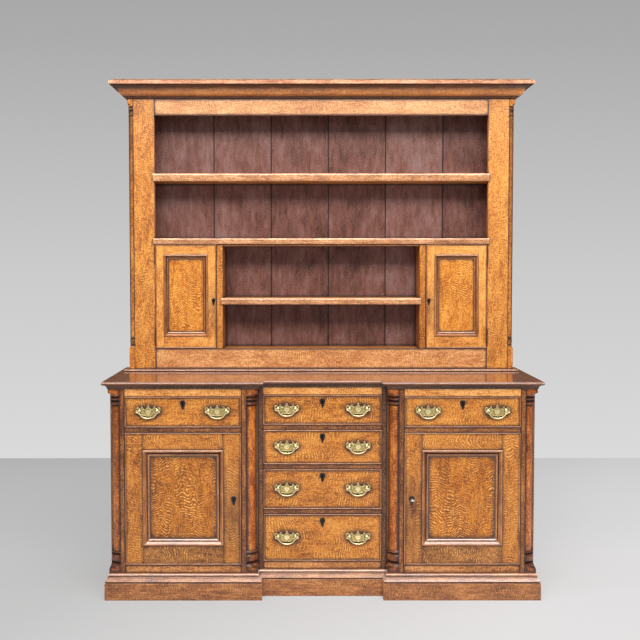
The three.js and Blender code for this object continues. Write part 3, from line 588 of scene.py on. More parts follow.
class Shader(NodeMaker):
    """A node material in the making."""

    def __init__(self, name: str) -> None:
        """Starts a material of a given name with a principled surface."""
        self.material = bpy.data.materials.new(name)
        self.material.use_nodes = True
        super().__init__(self.material.node_tree)
        self.surface = self.tree.nodes["Principled BSDF"]

    def surfaced(self, fed: Settings) -> None:
        """Links or sets sockets of the surface, by name."""
        for name, value in fed.items():
            self.feed(self.surface.inputs[name], value)

    def attribute(self, name: str) -> Value:
        """A number kept in a mesh attribute."""
        return Value(self, self.node("ShaderNodeAttribute", {"attribute_name": name}).outputs["Fac"])

    def parts(self, vector: Socket) -> list[Value]:
        """The three numbers of a vector."""
        split = self.node("ShaderNodeSeparateXYZ", inputs={0: vector})
        return [Value(self, part) for part in split.outputs]

    def border(self, reach: float) -> Value:
        """How near a point is to the edges of its member.

        Args:
            reach: Distance from an edge at which it stops to count.

        Returns:
            1 on an edge, 2 in a corner and 0 inside.
        """
        rim, half = (self.node("ShaderNodeAttribute", {"attribute_name": name}).outputs["Vector"]
                     for name in ("rim", "half"))
        away = self.node("ShaderNodeVectorMath", {"operation": "ABSOLUTE"}, {0: rim})
        inside = self.node("ShaderNodeVectorMath", {"operation": "SUBTRACT"}, {0: half, 1: away.outputs[0]})
        along, across, through = (part.eased(0.0, reach) for part in self.parts(inside.outputs[0]))
        return 3 - along - across - through

    def place(self, source: Source) -> Socket:
        """The vector that patterns follow."""
        if source is Source.OBJECT:
            return self.node("ShaderNodeTexCoord").outputs["Object"]
        return self.node("ShaderNodeAttribute", {"attribute_name": source.value}).outputs["Vector"]

    def noise(self, place: Socket, per_metre: tuple[float, float, float], detail: float = 2.0,
              distortion: float = 0.0) -> Value:
        """Noise that follows a vector.

        Args:
            place: The vector.
            per_metre: Its frequency along, across and through the grain.
            detail: Octaves of detail.
            distortion: How far it is bent by itself.

        Returns:
            The noise, from 0 to 1.
        """
        scaled = self.node("ShaderNodeVectorMath", {"operation": "MULTIPLY"},
                           {0: place, 1: per_metre}).outputs[0]
        inputs = {"Vector": scaled, "Scale": 1.0, "Detail": detail, "Distortion": distortion}
        return Value(self, self.node("ShaderNodeTexNoise", inputs=inputs).outputs["Fac"])

    def occlusion_shade(self, reach: float) -> Value:
        """How enclosed a point is by what lies within reach, used to paint shade: 0 in the open and 1 in a
        deep corner.
        """
        node = self.node("ShaderNodeAmbientOcclusion", {"samples": 6}, {"Distance": reach})
        return 1 - Value(self, node.outputs["AO"])

    def blend(self, share: Value | float, under: object, over: object) -> Socket:
        """Two colours mixed, with a share of the second."""
        node = self.node("ShaderNodeMix", {"data_type": "RGBA"}, {"Factor": share, 6: under, 7: over})
        return node.outputs[2]

    def bump(self, height: Value, depth: float) -> None:
        """Feeds a height of 0 to 1 to the surface's normal, at a depth in metres."""
        node = self.node("ShaderNodeBump", inputs={"Height": height, "Distance": depth, "Strength": 1.0})
        self.feed(self.surface.inputs["Normal"], node.outputs[0])


@dataclass(frozen=True)
class Finish:
    """What all finishes share: a name, the record's slot, and the material made once."""

    name: str
    slot: str

    def material(self) -> bpy.types.Material:
        """The finish's material."""
        return bpy.data.materials.get(self.name) or self.mixed().material

    def mixed(self) -> Shader:
        """Makes the finish's shader."""
        raise NotImplementedError


@dataclass(frozen=True)
class Oak(Finish):
    """Waxed quarter-sawn oak: clouds, streaks and pores, rippling rays, painted shade in corners and hollows,
    and darkening at edges and joints, partly grime and partly painted shade.
    """

    dark: Rgb = (124, 64, 20)
    mid: Rgb = (178, 104, 36)
    light: Rgb = (216, 144, 62)
    fleck: Rgb = (248, 184, 98)
    shadow: Rgb = (98, 46, 14)
    # The grime colour is also the colour of the painted shade in corners, hollows and at edges.
    grime: Rgb = (58, 34, 30)
    flecks: float = 0.55
    ripple: float = 92.0
    swirl: float = 7.0
    figure: float = 0.8
    streaks: float = 0.5
    speckle: float = 1.4
    variety: float = 0.06
    # The next three set the painted shade in corners and hollows: the strength with which it and the grime
    # darken towards the grime colour, the reach of the occlusion, and its weight.
    shade_and_dirt_strength: float = 0.92
    reach: float = 0.016
    depth: float = 1.9
    # rim and edge darken members near their edges, partly grime and partly painted shade; line and joint
    # darken a thin band at the edges, for dark joints and for painted shade at the foot of a bead.
    rim: float = 0.008
    edge: float = 0.45
    line: float = 0.0028
    joint: float = 0.7
    roughness: float = 0.42
    coat: float = 0.25
    coat_roughness: float = 0.14
    gloss: float = 0.35

    # Frequencies of its patterns along, across and through the grain, per metre
    CLOUDS = (7, 11, 11)
    FIGURE = (16, 50, 50)
    STREAKS = (12, 420, 420)
    SPECKLE = (90, 210, 210)
    BEND = (4, 13, 13)
    WOBBLE = (30, 32, 32)
    BREAKS = (70, 85, 85)
    SHOALS = (8, 12, 12)
    PORES = (80, 1100, 1100)
    PATCHES = (28, 45, 45)

    def mixed(self) -> Shader:
        """Makes the timber's shader."""
        shader = Shader(self.name)
        place = shader.place(Source.MEMBERS)
        along = shader.parts(place)[0]
        clouds = shader.noise(place, self.CLOUDS, 3.0) - 0.5
        figure = shader.noise(place, self.FIGURE, 3.0, 0.4) - 0.5
        streaks = shader.noise(place, self.STREAKS) - 0.5
        speckle = shader.noise(place, self.SPECKLE) - 0.5
        shade = 0.5 + clouds * self.figure + figure * self.figure + streaks * self.streaks
        shade = shade + speckle * self.speckle + shader.attribute("tone") * self.variety
        stops = [(0.15, self.dark), (0.5, self.mid), (0.85, self.light)]
        timber = shader.node("ShaderNodeValToRGB", {"stops": stops}, {0: shade}).outputs[0]
        wobble = shader.noise(place, self.WOBBLE, 1.0) * 1.5
        bend = shader.noise(place, self.BEND, 1.0) * self.swirl + wobble
        ripple = (along * self.ripple + bend).wave()
        breaks = shader.noise(place, self.BREAKS, 1.0).eased(0.4, 0.6)
        strength = breaks * (0.25 + shader.noise(place, self.SHOALS).eased(0.35, 0.65) * 0.75) * self.flecks
        flecks = ripple.eased(0.0, 0.95) * strength
        timber = shader.blend((-ripple).eased(0.0, 1.0) * strength * 0.75, timber, linear(self.shadow))
        timber = shader.blend(flecks, timber, linear(self.fleck))
        pores = shader.noise(place, self.PORES, 0.0).eased(0.6, 0.72)
        timber = shader.blend(pores * 0.4, timber, linear(self.dark))
        patchy = 0.4 + shader.noise(place, self.PATCHES, 3.0) * 1.2
        soiled_and_shaded = (shader.attribute("soil") + shader.border(self.rim) * self.edge) * patchy
        soiled_and_shaded = soiled_and_shaded + shader.border(self.line) * self.joint
        # Painted shade: ambient occlusion darkens corners and hollows, and with the grime and edge darkening
        # above it blends the timber towards the grime colour.
        shade_and_dirt = (shader.occlusion_shade(self.reach) * self.depth + soiled_and_shaded).eased(0.0, 1.1) * self.shade_and_dirt_strength
        shader.surfaced({"Base Color": shader.blend(shade_and_dirt, timber, linear(self.grime)),
                         "Roughness": self.roughness + streaks * 0.16 + shade_and_dirt * 0.2,
                         "Specular IOR Level": self.gloss,
                         "Coat Weight": self.coat, "Coat Roughness": self.coat_roughness})
        shader.bump(streaks * 0.5 - pores + flecks * 0.3, 0.0002)
        return shader


@dataclass(frozen=True)
class Metal(Finish):
    """Worn cast metal, dulled in its corners by tarnish and by painted shade."""

    bright: Rgb = (226, 214, 162)
    dull: Rgb = (122, 104, 62)
    metallic: float = 1.0
    roughness: float = 0.3
    reach: float = 0.004

    MOTTLE = (160, 160, 160)
    SCRATCHES = (900, 400, 900)

    def mixed(self) -> Shader:
        """Makes the metal's shader."""
        shader = Shader(self.name)
        place = shader.place(Source.OBJECT)
        mottle = shader.noise(place, self.MOTTLE, 3.0).eased(0.45, 0.75)
        scratches = shader.noise(place, self.SCRATCHES)
        # Painted shade from ambient occlusion in corners, with tarnish mottle, dulls and darkens the metal.
        shade_and_dirt = (shader.occlusion_shade(self.reach) * 2.0 + mottle * 0.35).eased(0.0, 1.0)
        shader.surfaced({"Base Color": shader.blend(shade_and_dirt, linear(self.bright), linear(self.dull)),
                         "Metallic": self.metallic - shade_and_dirt * 0.35,
                         "Roughness": self.roughness + (scratches - 0.5) * 0.2 + shade_and_dirt * 0.25})
        shader.bump(mottle * 0.4 + scratches * 0.3, 0.0001)
        return shader


@dataclass(frozen=True)
class Inlay(Finish):
    """Blackened hardwood let into the face round a keyhole."""

    black: Rgb = (24, 18, 22)
    brown: Rgb = (70, 38, 18)

    WEAR = (300, 300, 120)

    def mixed(self) -> Shader:
        """Makes the inlay's shader."""
        shader = Shader(self.name)
        place = shader.place(Source.OBJECT)
        wear = shader.noise(place, self.WEAR).eased(0.5, 0.8)
        shader.surfaced({"Base Color": shader.blend(wear, linear(self.black), linear(self.brown)),
                         "Roughness": 0.32 + wear * 0.2})
        shader.bump(wear, 0.0001)
        return shader


OAK = Oak("waxed_oak", "oak")
# Its line darkens a thin band at its edges: painted shade and grime at the foot of the cockbead.
FRONT_OAK = Oak(
    "drawer_front_oak", "oak", mid=(194, 116, 38), light=(226, 154, 68), rim=0.016, line=0.006, flecks=0.65)
DOOR_OAK = Oak(
    "door_frame_oak", "oak", mid=(190, 116, 44), reach=0.008, rim=0.018, line=0.003, joint=0.3, swirl=9.0,
    flecks=0.75)
PANEL_OAK = Oak(
    "panel_oak", "oak", mid=(188, 108, 24), light=(224, 148, 54), rim=0.034, edge=0.6, swirl=12.0,
    flecks=1.0)
# Painted shade: the centre bank's stiles, in the shadow of the wings' returns, are coloured darker.
SHADED_OAK = Oak(
    "shaded_oak", "oak", dark=(52, 30, 20), mid=(96, 58, 32), light=(144, 92, 52), fleck=(190, 130, 80),
    flecks=0.4)
FOOT_OAK = Oak(
    "bottom_rail_oak", "oak", dark=(104, 60, 28), mid=(162, 102, 48), light=(204, 142, 76), rim=0.03,
    edge=0.35, line=0.003, joint=0.3, swirl=9.0, flecks=0.75)
RAIL_OAK = Oak(
    "rail_oak", "oak", dark=(78, 42, 22), mid=(126, 72, 34), light=(180, 116, 60), rim=0.007, edge=0.7,
    line=0.004, flecks=0.2)
# Painted shadow: its edge darkening stands for the shadow that the doors and drawers cast on its top edge,
# though it darkens all its edges.
SILL_OAK = Oak(
    "sill_rail_oak", "oak", dark=(116, 64, 28), mid=(184, 116, 60), light=(222, 156, 96), rim=0.012,
    edge=0.8, flecks=0.3)
# Painted light: the top rails sit in the shadow of the board's overhang, so they are coloured brighter and
# get less occlusion shade.
LIT_TOP_RAIL_OAK = Oak(
    "top_rail_oak", "oak", dark=(168, 100, 44), mid=(228, 152, 78), light=(248, 186, 112),
    shadow=(140, 76, 28), edge=0.3, flecks=0.6, depth=0.9)
PLINTH_OAK = Oak(
    "plinth_oak", "oak", dark=(92, 46, 20), mid=(156, 90, 38), light=(208, 138, 74), flecks=0.3, figure=0.7,
    streaks=0.9, speckle=1.0, edge=0.0, joint=0.0, depth=0.8, roughness=0.36, coat=0.6, coat_roughness=0.12,
    gloss=0.5)
RACK_OAK = Oak(
    "rack_oak", "oak", dark=(150, 82, 26), mid=(200, 124, 44), light=(230, 160, 72), shadow=(126, 66, 20),
    edge=0.35, flecks=0.5, speckle=1.7, roughness=0.36, gloss=0.7)
# Painted sheen: the frieze and bottom rail get paler, pinker colours for the whitish sheen on them.
SHEEN_RACK_RAIL_OAK = Oak(
    "rack_rail_oak", "oak", dark=(162, 96, 50), mid=(208, 139, 78), light=(236, 181, 124),
    shadow=(136, 76, 40), rim=0.016, edge=0.75, line=0.005, joint=0.9, flecks=0.5, roughness=0.36,
    gloss=0.7)
SMALL_FRAME_OAK = Oak(
    "small_frame_oak", "oak", dark=(160, 90, 34), mid=(226, 150, 70), light=(246, 184, 102),
    shadow=(134, 70, 24), edge=0.12, joint=0.3, flecks=0.35, speckle=1.0, reach=0.008)
SMALL_OAK = Oak(
    "small_panel_oak", "oak", dark=(148, 78, 20), mid=(204, 124, 38), light=(234, 162, 72),
    shadow=(130, 66, 16), rim=0.02, edge=0.5, line=0.004, swirl=11.0, flecks=0.85)
NOSE_OAK = Oak(
    "nosing_oak", "oak", dark=(134, 78, 42), mid=(194, 130, 78), light=(232, 178, 130), flecks=0.3,
    edge=0.0, joint=0.0, speckle=1.2, roughness=0.3, coat=1.0, coat_roughness=0.18, gloss=0.7)
# Painted sheen: pale pink colours stand in for the whitish sheen on the cornice's fascia and on the rack's
# foot board.
SHEEN_FASCIA_OAK = Oak(
    "fascia_oak", "oak", dark=(160, 100, 70), mid=(212, 154, 118), light=(240, 196, 166), flecks=0.2,
    edge=0.0, joint=0.0, speckle=0.9, roughness=0.26, coat=1.0, coat_roughness=0.12, gloss=0.6)
MOULDED_OAK = Oak(
    "moulded_oak", "oak", dark=(100, 52, 26), mid=(162, 98, 48), light=(212, 146, 88), flecks=0.15,
    grime=(62, 32, 20), figure=0.7, speckle=0.6, edge=0.0, joint=0.0, reach=0.007, depth=1.6, roughness=0.3,
    coat=1.0, coat_roughness=0.09, gloss=0.6)
CORNICE_OAK = Oak(
    "cornice_oak", "oak", dark=(108, 60, 30), mid=(188, 116, 56), light=(230, 162, 92), flecks=0.1,
    figure=0.4, speckle=0.7, edge=0.0, joint=0.0, reach=0.03, roughness=0.34, coat=0.6, coat_roughness=0.12)
# Painted shade: the hollow beneath the board's nosing is coloured dark for the shadow that it lies in.
SHADED_HOLLOW_OAK = Oak(
    "dusky_hollow_oak", "oak", dark=(46, 28, 20), mid=(84, 54, 36), light=(130, 88, 58), flecks=0.1,
    edge=0.0, joint=0.0)
# Painted shade: its wide rim, edge and occlusion reach darken the column towards both edges of its quarter
# round.
COLUMN_OAK = Oak(
    "column_oak", "oak_column", dark=(114, 50, 14), mid=(180, 92, 26), light=(226, 142, 60), flecks=0.3,
    figure=0.9, rim=0.016, edge=0.6, joint=0.0, reach=0.02, roughness=0.36, coat=0.6, coat_roughness=0.1,
    gloss=0.2)
RACK_COLUMN_OAK = Oak(
    "rack_column_oak", "oak_column", dark=(132, 70, 26), mid=(206, 126, 50), light=(236, 164, 80),
    flecks=0.3, rim=0.005, edge=0.4, joint=0.3, reach=0.01, coat=0.5, gloss=0.2)
BOARD_OAK = Oak(
    "board_oak", "oak_board", dark=(80, 44, 28), mid=(134, 84, 56), light=(178, 124, 90), flecks=0.12,
    figure=0.3, streaks=0.6, speckle=0.5, edge=0.0, joint=0.0, roughness=0.24, coat=0.8,
    coat_roughness=0.07, gloss=0.3)
INNER_OAK = Oak(
    "unpolished_oak", "oak_dark", dark=(76, 46, 26), mid=(122, 78, 46), light=(156, 106, 66), flecks=0.25,
    speckle=0.8, edge=0.2, roughness=0.6, coat=0.0)
LINING_OAK = Oak(
    "drawer_lining_oak", "oak", dark=(120, 82, 48), mid=(168, 122, 76), light=(200, 156, 104), flecks=0.3,
    speckle=0.7, edge=0.0, roughness=0.6, coat=0.0)
STAIN = Oak(
    "stained_boards", "back_stain", dark=(72, 38, 28), mid=(122, 80, 68), light=(144, 114, 110),
    fleck=(124, 108, 112), shadow=(52, 34, 34), grime=(18, 10, 10), flecks=0.25, figure=0.75, streaks=0.35,
    speckle=0.5, variety=0.08, rim=0.006, edge=0.9, roughness=0.36, coat=0.35)
BRASS = Metal(
    "worn_brass", "brass", bright=(246, 228, 172), dull=(96, 70, 34), metallic=0.75, roughness=0.28)
# Its long occlusion reach paints the shade that the bail casts on the plate.
PLATE_BRASS = Metal(
    "dull_plate_brass", "brass", bright=(204, 178, 106), dull=(58, 38, 20), metallic=0.7, roughness=0.34,
    reach=0.011)
AGED_BRASS = Metal("aged_brass", "brass", bright=(128, 92, 50), dull=(46, 32, 20), roughness=0.42)
STEEL = Metal("worn_steel", "steel", bright=(206, 204, 200), dull=(84, 80, 76), metallic=0.7, roughness=0.3)
IRON = Metal("old_iron", "steel", bright=(70, 62, 56), dull=(34, 28, 24), roughness=0.55)
EBONY = Inlay("blackened_inlay", "oak_dark")


class Tree(NodeMaker):
    """A Geometry Nodes tree in the making."""

    def __init__(self, name: str, inputs: dict[str, tuple[str, object]]) -> None:
        """Starts a tree.

        Args:
            name: Name of the tree.
            inputs: Socket type and default value of each named input.
        """
        super().__init__(bpy.data.node_groups.new(name, "GeometryNodeTree"))
        for way in ("INPUT", "OUTPUT"):
            self.tree.interface.new_socket("Geometry", in_out=way, socket_type="NodeSocketGeometry")
        for label, (kind, value) in inputs.items():
            socket = self.tree.interface.new_socket(label, in_out="INPUT", socket_type=f"NodeSocket{kind}")
            if value is not None:
                socket.default_value = value
        self.entry = self.tree.nodes.new("NodeGroupInput")

    def feed(self, socket: Socket, value: object) -> None:
        """Links or sets a socket; a text that names an input of the tree links that input."""
        named = isinstance(value, str) and value in self.entry.outputs
        super().feed(socket, self.entry.outputs[value] if named else value)

    def close(self, geometry: Socket) -> bpy.types.NodeTree:
        """Ends the tree in real geometry that has its material.

        Args:
            geometry: What the tree makes.

        Returns:
            The tree.
        """
        real = self.node("GeometryNodeRealizeInstances", inputs={0: geometry})
        dressed = self.node("GeometryNodeSetMaterial", inputs={0: real.outputs[0], "Material": "Material"})
        self.node("NodeGroupOutput", inputs={0: dressed.outputs[0]})
        return self.tree


def wire_tree() -> bpy.types.NodeTree:
    """A round wire that follows the edges of a mesh, thicker in its middle."""
    tree = Tree("wire", {"Radius": ("Float", 0.002), "Swell": ("Float", 0.0), "Steps": ("Int", 64),
                         "Sides": ("Int", 12), "Material": ("Material", None)})
    curve = tree.node("GeometryNodeMeshToCurve", inputs={0: "Geometry"})
    bent = tree.node("GeometryNodeCurveSplineType", {"spline_type": "CATMULL_ROM"}, {0: curve.outputs[0]})
    even = tree.node("GeometryNodeResampleCurve", inputs={0: bent.outputs[0], "Count": "Steps"})
    way = tree.node("GeometryNodeSplineParameter")
    angle = tree.node("ShaderNodeMath", {"operation": "MULTIPLY"}, {0: way.outputs["Factor"], 1: math.pi})
    hump = tree.node("ShaderNodeMath", {"operation": "SINE"}, {0: angle.outputs[0]})
    swell = tree.node("ShaderNodeMath", {"operation": "MULTIPLY_ADD"},
                      {0: hump.outputs[0], 1: "Swell", 2: 1.0})
    ring = tree.node("GeometryNodeCurvePrimitiveCircle", inputs={"Resolution": "Sides", "Radius": "Radius"})
    inputs = {0: even.outputs[0], 1: ring.outputs[0], "Scale": swell.outputs[0], "Fill Caps": True}
    return tree.close(tree.node("GeometryNodeCurveToMesh", inputs=inputs).outputs[0])


def boards_tree() -> bpy.types.NodeTree:
    """Upright boards side by side: each point of the mesh is the middle of a board and carries its width."""
    tree = Tree("back_boards", {"Height": ("Float", 1.0), "Thickness": ("Float", 0.015),
                                "Gap": ("Float", 0.001),
                                "Seed": ("Int", 7), "Material": ("Material", None)})
    points = tree.node("GeometryNodeMeshToPoints", inputs={0: "Geometry"})
    size = tree.node("ShaderNodeCombineXYZ", inputs={"X": 1.0, "Y": "Thickness", "Z": "Height"})
    board = tree.node("GeometryNodeMeshCube", inputs={"Size": size.outputs[0]})
    width = tree.node("GeometryNodeInputNamedAttribute", {"data_type": "FLOAT"}, {"Name": "width"})
    clear = tree.node("ShaderNodeMath", {"operation": "SUBTRACT"}, {0: width.outputs[0], 1: "Gap"})
    scale = tree.node("ShaderNodeCombineXYZ", inputs={"X": clear.outputs[0], "Y": 1.0, "Z": 1.0})
    laid = tree.node("GeometryNodeInstanceOnPoints",
                     inputs={0: points.outputs[0], "Instance": board.outputs[0],
                                                             "Scale": scale.outputs[0]})
    dice = tree.node("FunctionNodeRandomValue", {"data_type": "FLOAT"}, {2: -1.0, 3: 1.0, "Seed": "Seed"})
    toned = tree.node("GeometryNodeStoreNamedAttribute", {"data_type": "FLOAT", "domain": "INSTANCE"},
                      {0: laid.outputs[0], "Name": "tone", "Value": dice.outputs[1]})
    return tree.close(toned.outputs[0])


def studs_tree() -> bpy.types.NodeTree:
    """Round flat heads on the points of a mesh, facing +Y or -Y, such as nails and screws."""
    tree = Tree("studs", {"Radius": ("Float", 0.003), "Height": ("Float", 0.001),
                          "Material": ("Material", None)})
    points = tree.node("GeometryNodeMeshToPoints", inputs={0: "Geometry"})
    head = tree.node("GeometryNodeMeshCylinder",
                     inputs={"Vertices": 12, "Radius": "Radius", "Depth": "Height"})
    laid = tree.node("GeometryNodeInstanceOnPoints",
                     inputs={0: points.outputs[0], "Instance": head.outputs[0],
                                                             "Rotation": (math.pi / 2, 0.0, 0.0)})
    return tree.close(laid.outputs[0])


class Nodes:
    """Runs Geometry Nodes trees on small meshes of points or lines."""

    def __init__(self) -> None:
        """Makes the three trees once."""
        self.wire = wire_tree()
        self.boards = boards_tree()
        self.studs = studs_tree()

    def run(self, name: str, tree: bpy.types.NodeTree, points: Sequence[Vector],
            edges: Sequence[tuple[int, int]],
            finish: Finish, settings: Settings, widths: Sequence[float] = ()) -> Piece:
        """Runs a tree and keeps its result as a plain mesh.

        Args:
            name: Name of the piece.
            tree: The tree.
            points: Points of the mesh that it starts from.
            edges: Lines between them.
            finish: Finish of the result.
            settings: Values of the tree's inputs, by name.
            widths: Width that each point carries, where the tree needs it.

        Returns:
            The piece, still without a body.
        """
        mesh = bpy.data.meshes.new(name)
        mesh.from_pydata([list(point) for point in points], list(edges), [])
        if widths:
            keep(mesh, "width", "POINT", widths)
        piece = placed(name, mesh)
        modifier = piece.modifiers.new("nodes", "NODES")
        modifier.node_group = tree
        chosen = {**settings, "Material": finish.material()}
        for socket in tree.interface.items_tree:
            if socket.in_out == "INPUT" and socket.name in chosen:
                modifier[socket.identifier] = chosen[socket.name]
        settle(piece)
        return piece

    def wires(self, name: str, points: Sequence[Vector], finish: Finish, body: str, radius: float,
              swell: float = 0.0, steps: int = 64, closed: bool = False,
              replaces: Sequence[str] = ()) -> Piece:
        """Makes a bent wire.

        Args:
            name: Name of the piece.
            points: Points that it follows.
            finish: Its finish.
            body: Body that it rides on.
            radius: Radius of the wire at its ends.
            swell: Share by which its middle is thicker.
            steps: Number of steps along it.
            closed: Whether it runs back to its start.
            replaces: CAD nodes that it stands for.

        Returns:
            The piece.
        """
        count = len(points)
        edges = [(i, (i + 1) % count) for i in range(count if closed else count - 1)]
        settings = {"Radius": radius, "Swell": swell, "Steps": steps}
        return dress(self.run(name, self.wire, points, edges, finish, settings), finish, body, replaces)


class Plan:
    """Places of the dresser's parts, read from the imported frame."""

    FRAME_THICKNESS = 0.022
    RACK_STILE = 0.093
    FRIEZE_RAIL = 0.072
    SHELF_LAP = 0.007

    def __init__(self) -> None:
        """Works out the places from the boxes of the CAD nodes."""
        low = {name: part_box(name)[0] for name in frame["nodes"]}
        high = {name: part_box(name)[1] for name in frame["nodes"]}
        self.half = high["base_end_right"].x
        self.centre_half = high["centre_frame"].x
        self.y_back = high["base_end_right"].y
        self.y_panel = low["base_back"].y
        self.y_wing = low["wing_frame_right"].y
        self.y_centre = low["centre_frame"].y
        self.y_column = high["outer_column_right"].y
        self.y_post = self.y_column + self.FRAME_THICKNESS
        self.column_square = high["outer_column_right"].x - low["outer_column_right"].x
        self.x_outer_column = low["outer_column_right"].x
        self.x_inner_column = high["inner_column_right"].x
        self.x_wing_outer = high["wing_drawer_right"].x + DRAWER_GAP
        self.x_wing_inner = low["wing_drawer_right"].x - DRAWER_GAP
        self.x_centre_opening = high["centre_drawer_1"].x + DRAWER_GAP
        self.z_plinth = high["plinth"].z
        self.z_bottom = low["base_door_right"].z - DOOR_GAP
        self.z_door_top = high["base_door_right"].z + DOOR_GAP
        self.z_wing_drawer = low["wing_drawer_right"].z - RUNNING_GAP
        self.z_top_rail = high["wing_drawer_right"].z + DRAWER_GAP
        self.z_cavetto = low["base_board"].z
        self.z_board = high["base_end_right"].z
        self.z_board_top = high["base_board"].z
        self.rack_half = high["rack_end_right"].x
        self.y_rack = low["rack_end_right"].y
        self.y_rack_frame = self.y_rack + self.FRAME_THICKNESS
        self.x_rack_end = low["rack_end_right"].x
        self.rack_square = high["rack_end_right"].x - self.x_rack_end
        self.x_rack_opening = self.x_rack_end - self.RACK_STILE
        self.x_post_inner = high["middle_shelf"].x - self.SHELF_LAP
        self.x_post_outer = low["rack_door_right"].x - DOOR_GAP
        self.z_rack = low["rack_end_right"].z
        self.z_rack_floor = low["rack_door_right"].z - DOOR_GAP
        self.z_second = high["rack_door_right"].z + DOOR_GAP
        self.z_frieze = high["rack_end_right"].z - self.FRIEZE_RAIL
        self.z_cornice = high["rack_end_right"].z
        self.z_top = high["cornice"].z

    def base_path(self) -> list[Vector]:
        """Corners of the base's plan, from the back on the left round the front to the back on the right."""
        left = [(-self.half, self.y_back), (-self.half, self.y_wing), (-self.centre_half, self.y_wing),
                (-self.centre_half, self.y_centre)]
        return [Vector((*corner, 0)) for corner in left + [(-x, y) for x, y in reversed(left)]]

    def rack_path(self, front: float, reach: float) -> list[Vector]:
        """Corners of the rack's plan, from the back on the left to the back on the right."""
        corners = [(-reach, self.y_back), (-reach, front), (reach, front), (reach, self.y_back)]
        return [Vector((*corner, 0)) for corner in corners]


class Ends(Enum):
    """The two ends of the dresser and the way from its middle to each."""

    left = -1
    right = 1

    def span(self, near: float, far: float) -> Span:
        """Limits in X between two distances from the middle, on this end."""
        return span(self.value * near, self.value * far)


@dataclass(frozen=True)
class Plinth:
    """Skirting with a stepped moulding above it, mitred round the breakfront."""

    plan: Plan
    overhang: float = 0.017
    wall: float = 0.024

    BOARD = (Stop(1, 0), Stop(1, 0.615), Stop(0.86, 0.64, 0.4), Stop(0.6, 0.645))
    CAP = (Stop(0.6, 0.645), Stop(0.6, 0.69), Stop(0.92, 0.695, 0.3), Stop(0.92, 0.7135, 0.3),
           Stop(0.34, 0.8185), Stop(0.32, 0.857, 0.4), Stop(0.14, 0.865), Stop(0.14, 0.9), Stop(0.3, 0.905),
           Stop(0.3, 0.93, 0.2), Stop(0.08, 0.975), Stop(0.04, 1))

    def build(self) -> None:
        """Builds the plinth and its back."""
        plan = self.plan
        made = Joinery("plinth")
        board = drawn(self.BOARD, self.overhang, plan.z_plinth)
        z_cap = board[-1][1]
        made.moulding(board + [(-self.wall, z_cap), (-self.wall, 0.0)], plan.base_path(), UP)
        y_back = (plan.y_back - self.wall, plan.y_back)
        made.board(grown((-plan.half, plan.half), -self.wall), y_back, (0.0, plan.z_plinth), Grain.X)
        made.piece("plinth_boards", PLINTH_OAK, "case", ["plinth"])
        made = Joinery("plinth cap")
        cap = drawn(self.CAP, self.overhang, plan.z_plinth)
        made.moulding([(-self.wall, z_cap), *cap, (-self.wall, plan.z_plinth)], plan.base_path(), UP)
        made.piece("plinth_cap_moulding", MOULDED_OAK)


@dataclass(frozen=True)
class BaseBoard:
    """The polished board on the base, with the hollow moulding glued beneath its edge."""

    plan: Plan
    overhang: float = 0.024

    HOLLOW = (Stop(0.1, 0), Stop(0.12, 0.1), Stop(0.74, 0.9, -0.42), Stop(0.76, 1))
    NOSE = (Stop(0.8, 0), Stop(0.86, 0.06), Stop(1, 0.42, 0.2), Stop(1, 0.5), Stop(0.87, 0.9, 0.06),
            Stop(0.76, 1, 0.3))

    def build(self) -> None:
        """Builds the board and its moulding."""
        plan = self.plan
        made = Joinery("base_board")
        thick = plan.z_board_top - plan.z_board
        made.slab(drawn(self.NOSE, self.overhang, thick, plan.z_board), plan.base_path(), Grain.X)
        made.piece("base_board_top", BOARD_OAK, "case", ["base_board"])
        hollow = Joinery("base_board_hollow")
        outline = drawn(self.HOLLOW, self.overhang, plan.z_board - plan.z_cavetto, plan.z_cavetto)
        hollow.moulding(outline + [(0.0, plan.z_board), (0.0, plan.z_cavetto)], plan.base_path(), UP)
        hollow.piece("base_board_hollow", SHADED_HOLLOW_OAK)


